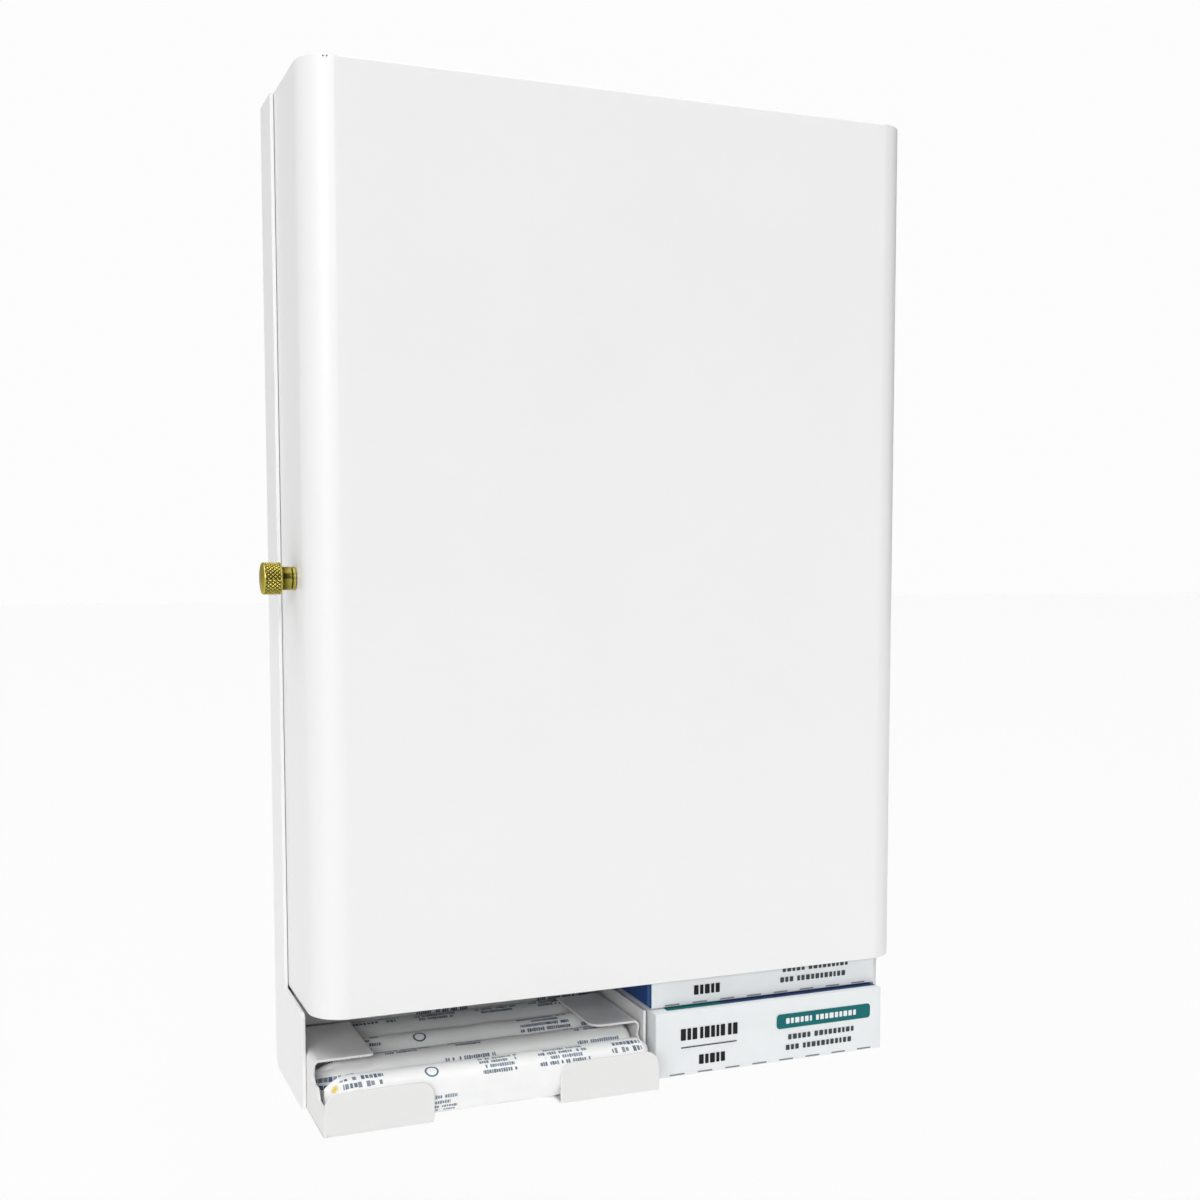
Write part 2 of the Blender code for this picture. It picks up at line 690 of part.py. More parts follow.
def tray_walls():
    """Two side walls with folded wings, trimmed to the cheeks' outline."""
    depth = BACK_SEAT - LIP_FRONT
    inset = SHEET / 2
    wall = TRAY_RIGHT - inset - TRAY_MID
    wing = MOUTH - WING_DROP - inset
    profile = rounded(
        [(wall - WING_WIDTH + inset, wing), (wall, wing), (wall, TRAY_BOTTOM + inset)], WING_BEND
    )
    tray = add_part("tampon_tray", strip_mesh("tampon_tray", profile, depth), WHITE_COAT)
    place(tray, "Y", BACK_SEAT)
    tray.location.x = TRAY_MID
    mirror = tray.modifiers.new("both_sides", "MIRROR")
    mirror.use_axis[0] = True
    mirror.use_mirror_merge = False
    solidify(tray, SHEET)
    cheeks = add_cutter("cheeks", flat_mesh("cheeks", [cheek_outline()], TRAY_WIDTH + 2 * OVERRUN))
    place(cheeks, "X", TRAY_LEFT - OVERRUN)
    boolean(tray, cheeks, "DIFFERENCE")
    low = (TRAY_LEFT + SHEET, WING_END, MOUTH - WING_DROP - SHEET - WING_BEND)
    high = (TRAY_RIGHT - SHEET, BACK_SEAT + OVERRUN, MOUTH)
    return cut(tray, box_mesh("behind_wings", low, high))


def round_wings(tray):
    corners = []
    for side in (-1, 1):
        edge = TRAY_MID + side * (TRAY_WIDTH / 2 - WING_WIDTH)
        corners.append(
            corner_mesh("wing_corners", edge, WING_START, WING_CORNER, -side, -1, OVERRUN)
        )
    cutter = add_cutter("wing_corners", joined_mesh("wing_corners", corners))
    place(cutter, "Z", MOUTH - WING_DROP - OVERRUN / 2)
    return boolean(tray, cutter, "DIFFERENCE")


def add_tray_floor(tray):
    floor = strip_mesh("tray_floor", tray_floor_profile(), TRAY_WIDTH - 2 * SHEET_OVERLAP)
    body = add_cutter("tray_floor", floor)
    place(body, "X", TRAY_LEFT + SHEET_OVERLAP)
    solidify(body, SHEET)
    return boolean(tray, body, "UNION")


def cut_finger_gap(tray):
    """The gap that parts the front lip in two and bites into the floor."""
    half = FINGER_GAP / 2
    outline = rounded(
        [
            (TRAY_MID - half, LIP_FRONT - OVERRUN, 0),
            (TRAY_MID + half, LIP_FRONT - OVERRUN, 0),
            (TRAY_MID + half, LIP_FRONT + FINGER_CUT_DEPTH),
            (TRAY_MID - half, LIP_FRONT + FINGER_CUT_DEPTH),
        ],
        FINGER_FILLET,
        closed=True,
    )
    mesh = flat_mesh("finger_gap", [outline], LIP_HEIGHT + 2 * OVERRUN)
    cutter = place(add_cutter("finger_gap", mesh), "Z", TRAY_BOTTOM - OVERRUN)
    return boolean(tray, cutter, "DIFFERENCE")


def round_lips(tray):
    top = TRAY_BOTTOM + LIP_HEIGHT
    corners = []
    for side in (-1, 1):
        outer = TRAY_MID + side * (TRAY_WIDTH / 2 - SHEET_OVERLAP)
        inner = TRAY_MID + side * FINGER_GAP / 2
        for x, z, radius, toward_x, toward_z in (
            (outer, top, LIP_CORNER, side, 1),
            (inner, top, LIP_CORNER, -side, 1),
            (inner, TRAY_BOTTOM, LIP_FOOT, -side, -1),
        ):
            corners.append(corner_mesh("lip_corners", x, z, radius, toward_x, toward_z, OVERRUN))
    cutter = add_cutter("lip_corners", joined_mesh("lip_corners", corners))
    place(cutter, "Y", LIP_FRONT + SHEET + SHEET)
    return boolean(tray, cutter, "DIFFERENCE")


def make_tampon_tray():
    """Walls, wings, sloping floor and two front lips with a finger gap between them."""
    tray = tray_walls()
    round_wings(tray)
    add_tray_floor(tray)
    cut_finger_gap(tray)
    return round_lips(tray)


def make_guide(name, profile, bottom, top):
    """A folded sheet guide that stands behind the front cover, from its plan."""
    guide = add_part(name, strip_mesh(name, rounded(profile, GUIDE_BEND), top - bottom), WHITE_COAT)
    guide.location.z = bottom
    return solidify(guide, SHEET)


def make_guides():
    inset = SHEET / 2
    front = GUIDE_FRONT_Y + inset
    rear = BACK_SEAT - inset
    left = GUIDE_LEFT_INNER - inset
    right = GUIDE_RIGHT_INNER + inset
    make_guide(
        "magazine_left",
        [
            (left + GUIDE_RETURN, front),
            (left, front),
            (left, rear),
            (left + GUIDE_FOOT, rear),
        ],
        GUIDE_BOTTOM,
        GUIDE_TOP,
    )
    make_guide(
        "magazine_right",
        [
            (right - GUIDE_RETURN, front),
            (right, front),
            (right, rear),
            (right - GUIDE_FOOT, rear),
        ],
        GUIDE_BOTTOM,
        GUIDE_TOP,
    )
    shelf_top = SHELF_BOTTOM + SHEET + SEAT_GAP
    curb = CURB_X
    make_guide(
        "pad_guide_left",
        [(curb, front), (curb, rear), (curb + GUIDE_FOOT, rear)],
        MOUTH - MOUTH_ROOM + SEAT_GAP,
        GUIDE_TOP,
    )
    fence = PAD_RIGHT + PAD_PLAY + inset
    make_guide(
        "pad_guide_right",
        [(fence, front), (fence, rear), (fence + GUIDE_FOOT / 2, rear)],
        shelf_top,
        GUIDE_TOP,
    )


def make_pad_shelf():
    """A floor under the boxes, with a low curb beside the tray and a side that stands on the flange."""
    inset = SHEET / 2
    side = RIGHT - SHEET - SEAT_GAP - inset
    floor = SHELF_BOTTOM + inset
    profile = rounded(
        [
            (CURB_X, MOUTH - MOUTH_ROOM),
            (CURB_X, floor),
            (side, floor),
            (side, floor + SHELF_SIDE_HEIGHT),
        ],
        TRAY_BEND,
    )
    depth = BACK_SEAT - FRONT - SHELF_SETBACK
    shelf = add_part("pad_shelf", strip_mesh("pad_shelf", profile, depth), WHITE_COAT)
    place(shelf, "Y", BACK_SEAT)
    solidify(shelf, SHEET)
    outline = rounded(
        [
            (PAD_RIGHT, FRONT - OVERRUN, 0),
            (RIGHT + OVERRUN, FRONT - OVERRUN, 0),
            (RIGHT + OVERRUN, LOWER_FLANGE_FRONT + SHEET, 0),
            (PAD_RIGHT, LOWER_FLANGE_FRONT + SHEET),
        ],
        FLANGE_EASE,
        closed=True,
    )
    corner = flat_mesh("shelf_corner", [outline], SHELF_SIDE_HEIGHT + 2 * OVERRUN)
    place(add_cutter("shelf_corner", corner), "Z", SHELF_BOTTOM - OVERRUN)
    return boolean(shelf, bpy.data.objects["shelf_corner"], "DIFFERENCE")


def make_latch_keeper():
    """A bracket welded to the left magazine, whose fork is open to the front."""
    arm = LEFT + KEEPER_OFFSET
    seat = GUIDE_FRONT_Y - SEAT_GAP - SHEET / 2
    front = FRONT + KEEPER_FRONT
    profile = rounded([(arm + KEEPER_FOOT, seat), (arm, seat), (arm, front)], KEEPER_BEND)
    keeper = add_part(
        "latch_keeper", strip_mesh("latch_keeper", profile, KEEPER_HEIGHT), ZINC
    )
    keeper.location.z = LATCH_Z - KEEPER_HEIGHT / 2
    solidify(keeper, SHEET)
    slot = rounded(
        [
            (front - OVERRUN, LATCH_Z - KEEPER_SLOT / 2, 0),
            (LATCH_Y + KEEPER_SLOT / 2, LATCH_Z - KEEPER_SLOT / 2),
            (LATCH_Y + KEEPER_SLOT / 2, LATCH_Z + KEEPER_SLOT / 2),
            (front - OVERRUN, LATCH_Z + KEEPER_SLOT / 2, 0),
        ],
        KEEPER_SLOT / 2 - SHEET / 10,
        closed=True,
    )
    cutter = add_cutter("keeper_slot", flat_mesh("keeper_slot", [slot], 2 * OVERRUN))
    place(cutter, "X", arm - OVERRUN)
    boolean(keeper, cutter, "DIFFERENCE")
    for side in (-1, 1):
        middle = LATCH_Z + side * (NUT_WIDTH / 2 + SEAT_GAP + SHEET / 2)
        low = (arm, front, middle - SHEET / 2)
        high = (arm + KEEPER_LIP, front + KEEPER_LIP_LENGTH, middle + SHEET / 2)
        join(keeper, box_mesh("keeper_lip", low, high))
    return keeper


def make_thumb_screw():
    """Knurled head, neck and shank in one turned piece, with a groove for the retaining ring."""
    head_end = -SEAT_GAP - NECK_LENGTH
    tip = head_end - KNOB_LENGTH
    groove = SHEET + SEAT_GAP
    groove_end = groove + RING_THICKNESS + SEAT_GAP
    slim = SHANK_RADIUS - RING_GROOVE_DEPTH
    profile = [
        (tip - KNOB_CROWN, 0),
        (tip, KNOB_RADIUS - 2 * KNOB_CHAMFER),
        (tip + KNOB_CHAMFER, KNOB_RADIUS),
        (head_end - KNOB_CHAMFER, KNOB_RADIUS),
        (head_end, KNOB_RADIUS - KNOB_CHAMFER),
        (head_end, NECK_RADIUS),
        (-3 * NECK_GROOVE, NECK_RADIUS),
        (-3 * NECK_GROOVE, NECK_RADIUS - NECK_GROOVE),
        (-2 * NECK_GROOVE, NECK_RADIUS - NECK_GROOVE),
        (-2 * NECK_GROOVE, NECK_RADIUS),
        (-SEAT_GAP, NECK_RADIUS),
        (-SEAT_GAP, SHANK_RADIUS),
        (groove - SEAT_GAP / 2, SHANK_RADIUS),
        (groove - SEAT_GAP / 2, slim),
        (groove_end, slim),
        (groove_end, SHANK_RADIUS),
        (SHANK_LENGTH - KNOB_CHAMFER, SHANK_RADIUS),
        (SHANK_LENGTH, SHANK_RADIUS - KNOB_CHAMFER),
        (SHANK_LENGTH, 0),
    ]
    screw = add_part("thumb_screw", turned_mesh("thumb_screw", profile), BRASS)
    turn_about_x(screw, 2 * ROUND_STEPS)
    screw.location = (LEFT, LATCH_Y, LATCH_Z)
    return screw


def make_retaining_ring():
    """A flat ring, open at one side, sprung into the groove of the shank."""
    bore = SHANK_RADIUS - RING_GROOVE_DEPTH + SEAT_GAP
    start = math.asin(RING_MOUTH / 2 / RING_OUTER)
    inner_start = math.asin(RING_MOUTH / 2 / bore)
    outline = []
    for step in range(2 * ROUND_STEPS + 1):
        angle = start + (2 * math.pi - 2 * start) * step / (2 * ROUND_STEPS)
        outline.append((RING_OUTER * math.sin(angle), -RING_OUTER * math.cos(angle)))
    for step in range(ROUND_STEPS + 1):
        angle = 2 * math.pi - inner_start - (2 * math.pi - 2 * inner_start) * step / ROUND_STEPS
        outline.append((bore * math.sin(angle), -bore * math.cos(angle)))
    ring = add_part(
        "retaining_ring", flat_mesh("retaining_ring", [outline], RING_THICKNESS), ZINC
    )
    ring.rotation_euler = AXIS_TURNS["X"]
    ring.location = (LEFT + SHEET + SEAT_GAP, LATCH_Y, LATCH_Z)
    return ring


def make_clamp_nut():
    """A square nut behind the fork, bored for the shank."""
    start = LEFT + KEEPER_OFFSET + SHEET / 2 + SEAT_GAP
    half = NUT_WIDTH / 2
    low = (start, LATCH_Y - half, LATCH_Z - half)
    high = (start + NUT_THICKNESS, LATCH_Y + half, LATCH_Z + half)
    nut = add_part("clamp_nut", box_mesh("clamp_nut", low, high, NUT_CHAMFER), BRASS)
    centre = (start, LATCH_Y, LATCH_Z)
    return cut(nut, rod_mesh("nut_bore", centre, "X", SHANK_HOLE, 2 * (NUT_THICKNESS + OVERRUN)))


def tampon_mesh(name):
    """A wrapped cylinder whose ends are pinched flat, as a paper or film wrapper closes."""
    bm = bmesh.new()
    bmesh.ops.create_cone(
        bm,
        cap_ends=True,
        segments=TAMPON_STEPS,
        radius1=TAMPON_RADIUS,
        radius2=TAMPON_RADIUS,
        depth=TAMPON_LENGTH,
    )
    half = TAMPON_LENGTH / 2
    for side in (-1, 1):
        for share in CRIMP_SHARES:
            level = (0, 0, side * (half - TAMPON_CRIMP * share))
            geometry = bm.verts[:] + bm.edges[:] + bm.faces[:]
            bmesh.ops.bisect_plane(bm, geom=geometry, plane_co=level, plane_no=(0, 0, 1))
    for vert in bm.verts:
        depth = max(0, (abs(vert.co.z) - half + TAMPON_CRIMP) / TAMPON_CRIMP)
        flat = math.cos(depth * math.pi / 2) * (1 - CRIMP_FLAT_SHARE) + CRIMP_FLAT_SHARE
        vert.co.y *= flat
        vert.co.x *= 1 - CRIMP_NARROW_SHARE * depth
    bmesh.ops.rotate(bm, matrix=Matrix.Rotation(math.pi / 2, 3, "Y"), verts=bm.verts)
    return mesh_of(bm, name)


def tampon_places():
    """Centres (y, z): a row that climbs the floor, then a column that zigzags between guide and plate."""
    y = ROW_START
    z = TRAY_BOTTOM + ROW_MIDDLE
    places = []
    for index in range(TAMPONS_IN_ROW):
        along = PITCH * index
        places.append((y + along * math.cos(TRAY_SLOPE), z + along * math.sin(TRAY_SLOPE)))
    foot = z + (COLUMN_FAR - y) * math.tan(TRAY_SLOPE)
    for index in range(TAMPONS_IN_COLUMN):
        last_y, last_z = places[-1]
        next_y = COLUMN_NEAR if index % 2 else COLUMN_FAR
        climb = math.sqrt(max(0, PITCH**2 - (next_y - last_y) ** 2))
        places.append((next_y, max(foot, last_z + climb)))
    return places


def make_tampons():
    for index, (y, z) in enumerate(tampon_places()):
        name = "tampon_front" if index == 0 else f"tampon_{index + 1:02d}"
        tampon = add_part(name, tampon_mesh(name), PAPER)
        tampon.location = (TAMPON_X, y, z)


def make_pad_boxes():
    """A stack on the shelf: the lowest stands out of the mouth, the rest wait behind the cover."""
    floor = SHELF_BOTTOM + SHEET + SEAT_GAP
    for index in range(BOXES):
        name = "pad_box_front" if index == 0 else f"pad_box_{index + 1}"
        shift = PAD_X + BOX_SHIFT * BOX_SHIFT_SHARES[index % len(BOX_SHIFT_SHARES)]
        setback = -BOX_PROJECTION if index == 0 else SHEET + BOX_SETBACK
        y = FRONT + setback + BOX_DEPTH / 2
        z = floor + BOX_HEIGHT / 2 + index * (BOX_HEIGHT + SEAT_GAP)
        half = Vector((BOX_WIDTH, BOX_DEPTH, BOX_HEIGHT)) / 2
        box = add_part(name, box_mesh(name, -half, half, BOX_EDGE), CARD)
        box.location = (shift, y, z)


def make_assembly():
    make_back_pan()
    make_guides()
    make_pad_shelf()
    make_tampon_tray()
    make_latch_keeper()
    make_hinge_leaf("hinge_leaf_cabinet", 1, cabinet_rivet_places())
    make_hinge_pin()
    for index, place_ in enumerate(cabinet_rivet_places()):
        make_rivet(f"cabinet_rivet_{index + 1}", place_)
    door = pivot("cover_pivot", (HINGE_X, HINGE_Y, MOUTH))
    carry(door, make_front_cover())
    carry(door, make_hinge_leaf("hinge_leaf_cover", -1, cover_rivet_places()))
    for index, place_ in enumerate(cover_rivet_places()):
        carry(door, make_rivet(f"cover_rivet_{index + 1}", place_))
    carry(door, make_thumb_screw())
    carry(door, make_retaining_ring())
    carry(door, make_clamp_nut())
    make_tampons()
    make_pad_boxes()


clear_scene()
PARTS = collection("tampon_and_pad_dispenser")
CUTTERS = collection("cutters", hidden=True)
make_assembly()
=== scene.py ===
"""Looks for a wall-hung dispenser of wrapped tampons and boxed pads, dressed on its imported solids.

Metres, +Z up. The wall is the plane Y = 0 and the front faces -Y.
"""

import math
import random

import bmesh
import bpy
from mathutils import Matrix, Vector, noise
from mathutils.bvhtree import BVHTree


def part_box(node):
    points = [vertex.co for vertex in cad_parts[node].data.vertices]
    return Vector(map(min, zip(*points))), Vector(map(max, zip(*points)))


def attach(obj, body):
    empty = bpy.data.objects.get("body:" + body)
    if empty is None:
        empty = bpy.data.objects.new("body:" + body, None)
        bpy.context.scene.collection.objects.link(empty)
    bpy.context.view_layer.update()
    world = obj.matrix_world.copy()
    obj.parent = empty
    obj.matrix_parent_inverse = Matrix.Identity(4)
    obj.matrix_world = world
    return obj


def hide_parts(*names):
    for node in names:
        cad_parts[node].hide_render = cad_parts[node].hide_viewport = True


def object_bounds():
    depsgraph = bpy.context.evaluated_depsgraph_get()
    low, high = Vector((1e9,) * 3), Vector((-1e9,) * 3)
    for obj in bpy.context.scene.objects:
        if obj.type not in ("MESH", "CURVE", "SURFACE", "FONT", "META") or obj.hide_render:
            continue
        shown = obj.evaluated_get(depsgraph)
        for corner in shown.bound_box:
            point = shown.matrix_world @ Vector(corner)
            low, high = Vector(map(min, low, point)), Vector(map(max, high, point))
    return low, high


MM = 0.001

# Camera: place and turn in the part's frame, then the lens and the shift of its centre
CAMERA_PLACE = (-0.2108, -0.5811, 0.0159)
CAMERA_TURN = (math.radians(85.66), math.radians(-0.05), math.radians(-22.75))
CAMERA_LENS = 45.96
CAMERA_SENSOR = 36.0
CAMERA_SHIFT = (-0.0308, 0.0592)

# Suns: strength, spread in degrees, and turn in degrees from straight down
SUNS = {
    "key": (0.73, 26, (72, 0, -38)),
    "fill": (0.57, 24, (66, 0, -14)),
    "overhead": (2.35, 70, (0, 0, 0)),
}

# Surroundings. Gloss mirrors the sum of three: a bright strip at the front left, a glow at the
# back left and one above. Each is a product of smooth steps: the axis, numbered from 0, where
# the step starts and ends, and its two strengths.
WHITE_LIGHT = (1.0, 1.0, 1.0, 1.0)
BACKDROP_WHITE = 0.98
AMBIENT = 0.12
SHEEN = (
    ((0, -0.72, -0.45, 2.10, 0.00), (0, -0.98, -0.86, 0.20, 1.00), (1, 0.00, 0.40, 1.00, 0.20)),
    ((1, 0.40, 0.95, 0.05, 0.58), (0, -0.05, 0.20, 1.00, 0.04)),
    ((2, 0.70, 0.92, 0.00, 0.45),),
)
FLOOR_DROP = 0.75
FLOOR_SIZE = 30.0
FLOOR_WHITE = (0.93, 0.93, 0.93, 1.0)
FLOOR_ROUGHNESS = 0.9

# Finishes: two tones, the noise that the colour drifts with (scale, detail), the gloss
# (scale, then the roughness's range) and the grain (its noise, then the bump's depth and strength)
COAT_TONES = ((0.845, 0.845, 0.845, 1.0), (0.875, 0.872, 0.870, 1.0))
# The tray's coat is the cover's white paint toned darker: painted shade for the dimmer light on the
# tray.
TRAY_SHADED_TONES = ((0.775, 0.770, 0.765, 1.0), (0.800, 0.795, 0.790, 1.0))
COAT_DRIFT = (14.0, 2.0)
COAT_GLOSS = (60.0, 0.32, 0.37)
COAT_GRAIN = ((520.0, 2.0), 0.012 * MM, 1.0)
ZINC_TONES = ((0.55, 0.56, 0.57, 1.0), (0.70, 0.70, 0.68, 1.0))
ZINC_DRIFT = (160.0, 4.0)
ZINC_GLOSS = (420.0, 0.26, 0.42)
ZINC_GRAIN = ((900.0, 3.0), 0.01 * MM, 1.0)
BRASS_TONES = ((0.43, 0.37, 0.080, 1.0), (0.54, 0.47, 0.125, 1.0))
BRASS_TARNISH = (0.085, 0.062, 0.006, 1.0)
BRASS_EDGE = (0.86, 0.78, 0.42, 1.0)
BRASS_WORN = (0.47, 0.53, 0.0, 1.0)
BRASS_DRIFT = (300.0, 3.0)
BRASS_GLOSS = (700.0, 0.20, 0.30)
BRASS_GRAIN = ((2500.0, 3.0), 0.004 * MM, 1.0)
PAPER_TONES = ((0.85, 0.86, 0.86, 1.0), (0.93, 0.93, 0.92, 1.0))
PAPER_DRIFT = (180.0, 3.0)
PAPER_GLOSS = (240.0, 0.26, 0.42)
PAPER_GRAIN = ((330.0, 5.0, 0.6), 0.12 * MM, 0.6)
INK_TONES = ((0.004, 0.024, 0.085, 1.0), (0.010, 0.095, 0.190, 1.0))
INK_FADE = (600.0, 0.88, 1.0)
SEAL_YELLOW = (0.72, 0.58, 0.03, 1.0)
CARD_SHINE = 0.25
CARD_DRIFT = (90.0, 4.0)
CARD_GLOSS = (300.0, 0.35, 0.5)
PRINT_GLOSS = (300.0, 0.5, 0.65)
CARD_GRAIN = ((1400.0, 3.0), 0.01 * MM, 1.0)

# Inks on the cartons: colour, how far it varies, and gloss; then those of the print
CARD_INKS = {
    "white": ((0.80, 0.83, 0.84), 0.04, CARD_GLOSS),
    # Navy also serves as painted shadow on the cartons' top panels.
    "navy": ((0.012, 0.035, 0.13), 0.2, CARD_GLOSS),
    "blue": ((0.02, 0.07, 0.27), 0.2, CARD_GLOSS),
    "sky": ((0.06, 0.16, 0.36), 0.15, CARD_GLOSS),
    "teal": ((0.003, 0.135, 0.14), 0.15, PRINT_GLOSS),
    "grey": ((0.05, 0.056, 0.062), 0.15, PRINT_GLOSS),
    "black": ((0.008, 0.008, 0.009), 0.15, PRINT_GLOSS),
    "shade": ((0.22, 0.23, 0.25), 0.1, PRINT_GLOSS),
}
PRINT_INKS = ("teal", "grey", "black", "shade", "white", "navy", "sky")

# A Mix node's factor and two colours among its inputs, and its colour output
MIX_INPUTS = (0, 6, 7)
MIX_RESULT = 2

# Sheet metal
SHEET = 0.9 * MM
SHEET_EDGE = 0.28 * MM
EDGE_SEGMENTS = 3
SAME_PLACE = SHEET / 1000
NEAR = SHEET / 10
FACING = 0.7
WELD = 0.02 * MM
FLAT_ANGLE = math.radians(0.5)
CLEAR_SHARE = 0.8
SHARP_ANGLE = math.radians(32)
CORNER_RADIUS = 12.5 * MM
CORNER_STEPS = 24
BEND_STEPS = 8
TOP_BEND = 2.0 * MM
BROW_BEND = 1.0 * MM
RELIEF_RADIUS = 0.3 * MM
RELIEF_DROP = 0.75 * MM
RELIEF_INSETS = (7.6 * MM, 8.7 * MM)
OVERRUN = 4.0 * MM
HINGE_RELIEF = 8.0 * MM
COVER_WALL_BACK = 26.0 * MM
KNOB_HOLE = 2.2 * MM
ROD_SIDES = 32
RIVET_HOLE = 1.5 * MM

# Back pan
PAN_SHEET = 1.3 * MM
PAN_BEND = 1.4 * MM
PAN_EDGE = 0.2 * MM
FLANGE_DEPTH = 22.0 * MM
FLANGE_STEP_DROP = 0.8 * MM
FLANGE_STEP_LEAN = 0.4 * MM
FLANGE_CORNER = 8.0 * MM
FLANGE_EASE = 3.0 * MM
TOP_FLANGE_DROP = 0.9 * MM
TOP_FLANGE_START = 1.4 * MM
KEYHOLE_HEAD = 4.5 * MM
KEYHOLE_SLOT = 2.4 * MM
KEYHOLE_TRAVEL = 9.0 * MM
MOUNT_INSET = 40.0 * MM

# Tray
TRAY_BEND = 1.6 * MM
TRAY_SLOPE = math.radians(2.0)
LIP_HEIGHT = 15.0 * MM
LIP_CORNER = 5.0 * MM
LIP_FOOT = 2.5 * MM
FINGER_GAP = 45.6 * MM
FINGER_CUT = 10.0 * MM
FINGER_FILLET = 4.0 * MM
LEFT_WING = 21.3 * MM
RIGHT_WING = 18.9 * MM
WING_BEND = 1.8 * MM
LEFT_WING_CORNER = 1.5 * MM
RIGHT_WING_CORNER = 5.0 * MM
WING_START = 18.4 * MM
WING_END = 57.7 * MM
CHEEK_HEIGHT = 10.4 * MM
CHEEK_NOSE_HEIGHT = 13.9 * MM
CHEEK_NOTCH_HEIGHT = 15.4 * MM
CHEEK_START = 9.2 * MM
CHEEK_CREST = 11.7 * MM
CHEEK_HOLLOW = 17.2 * MM
CHEEK_NOTCH = 19.7 * MM
REAR_LIP = 8.0 * MM
SHEET_OVERLAP = SHEET / 4

# Thumb screw
KNOB_RADIUS = 5.5 * MM
KNOB_LENGTH = 6.6 * MM
KNOB_EDGE = 0.6 * MM
KNOB_RIM = 1.1 * MM
KNOB_CROWN = 0.3 * MM
NECK_RADIUS = 4.0 * MM
NECK_LENGTH = 4.6 * MM
NECK_GROOVE = 0.6 * MM
SHANK_RADIUS = 1.95 * MM
SHANK_LENGTH = 11.0 * MM
RING_GROOVE = (1.05 * MM, 2.3 * MM, 1.45 * MM)
SEAT_GAP = 0.3 * MM
KNURL_COUNT = 24
KNURL_LENGTH = 1.5 * MM
KNURL_DEPTH = 0.36 * MM
KNURL_FLANK = 1.6
KNURL_STEP = 0.125 * MM
KNURL_MARGIN = 0.35 * MM
KNOB_SIDES = 320
EDGE_STEPS = 5

# Wrapped tampons
WRAP_RINGS = 96
WRAP_SIDES = 48
WRAP_CRIMP = 8.5 * MM
WRAP_FLAT = 0.10
WRAP_NARROW = 0.30
WRAP_DROOP = 1.2 * MM
DOME = 4.2 * MM
DOME_POWER = 2.2
DOME_CAP = 0.05
ROW_OVERHANG = 1.0 * MM
ROW_COUNT = 4
SEAL_PLACE = (3.2 * MM, math.radians(60))
SEAL_REACH = (1.1 * MM, math.radians(9))
SEAL_EDGE = 1.4
PLEATS = 9
PLEAT_TURN = 3
PLEAT_DEPTH = 0.8 * MM
DENT_DEPTH = 0.3 * MM
DENT_SCALE = 95.0
DENT_BASE = 0.2
SEAM_WIDTH = 4.5 * MM
SEAM_HEIGHT = 0.18 * MM
SEAM_EASE = 3
RIB_START = 0.55
RIB_PITCH = 0.9 * MM
RIB_DEPTH = 0.10 * MM
RAGGED = 0.5 * MM
RAGGED_START = 0.98
RAGGED_SCALE = 900
RAGGED_BASE = 0.5
WRAP_SEED = 5

# Print on the wrappers, in millimetres and in shares of a block; a print is its lines' pitch,
# its strokes' pitch and the seed of its draws
BLOCK_LENGTH = 24.0
BLOCK_ROUND = 13.12
FINE_FRAME = 0.35
BOLD_FRAME = 0.25
RING_SHARE = 0.16
FINE_SHARE = (0.28, 0.80)
LAYOUT_SHIFT = (40.0, 61.0)
LINE_REACH = (0.22, 0.46)
FINE_PRINT = (BLOCK_ROUND / 6, 0.86, 7.0)
BOLD_PRINT = (BLOCK_ROUND / 4, 1.45, 17.0)
HEIGHT_DRAW, GAP_DRAW, REACH_DRAW, WIDTH_DRAW, INK_DRAW = range(5)
LAYOUT_SEED = 3.0
TONE_SEED = 5.0
GAP_SHARE = 0.15
STROKE_HEIGHT = (0.25, 0.37)
STROKE_WIDTH = (0.34, 0.46)
STROKE_INK = (0.80, 1.0)
RING_RADIUS = 2.1
RING_LINE = 0.33

# Cartons
CARD_EDGE = 0.45 * MM
CARD_BULGE = 0.25 * MM
CARD_CUTS = 8
INK_PROUD = 0.04 * MM
TICK_PITCH = 11.4 * MM
TICK_LENGTH = 6.0 * MM
TICK_HEIGHT = 0.55 * MM
TICK_START = 0.75
PRINT_CORNER = 0.25 * MM
PRINT_STEPS = 4
STROKE_GAP = 0.6 * MM
END_MARK_HEIGHT = 5.0 * MM

# Print on the cartons, in millimetres right and down from a panel's top left corner. A bar is its
# middle, width, height and corner; a row of strokes is its place, height and widths, with 0 for a gap.
LABEL = (70.5, 8.6, 41.0, 5.6, 1.3)
LABEL_STROKES = (
    54.0, 8.6, 2.1, (1.5, 1.2, 1.8, 1.3, 1.5, 0.9, 0, 0, 1.2, 1.6, 1.3, 1.8, 1.4, 1.2, 1.6, 1.5, 1.2)
)
SIDE_STROKES = (
    (55.0, 14.9, 2.0, (1.4, 1.7, 1.2, 1.6, 1.3, 0, 0, 1.5, 1.7, 1.2, 1.5, 1.4, 1.3, 1.1, 1.6, 1.2)),
    (54.0, 18.9, 2.0, (1.6, 1.3, 1.5, 0, 0, 1.2, 1.4, 1.7, 1.3, 1.6, 1.2, 1.5, 1.3, 1.0, 1.4, 1.6)),
)
BOLD_STROKES = (10.0, 8.7, 4.4, (2.1, 1.5, 1.9, 0, 1.3, 2.0, 1.6, 1.2, 1.8, 0, 1.5, 1.9))
LOW_STROKES = (17.5, 18.8, 3.6, (1.9, 1.4, 2.0, 1.3, 1.7))
RULE = (21.6, 13.6, 23.0, 0.45, 0.2)
TOP_EDGE = 3.4
TOP_SPLIT = (6.0, 29.0)
END_BAND = (1.2, 3.6)
END_MARK = (2.1, 2.8)


# Small tools


def new_object(name, data):
    data.name = name
    obj = bpy.data.objects.new(name, data)
    bpy.context.scene.collection.objects.link(obj)
    return obj


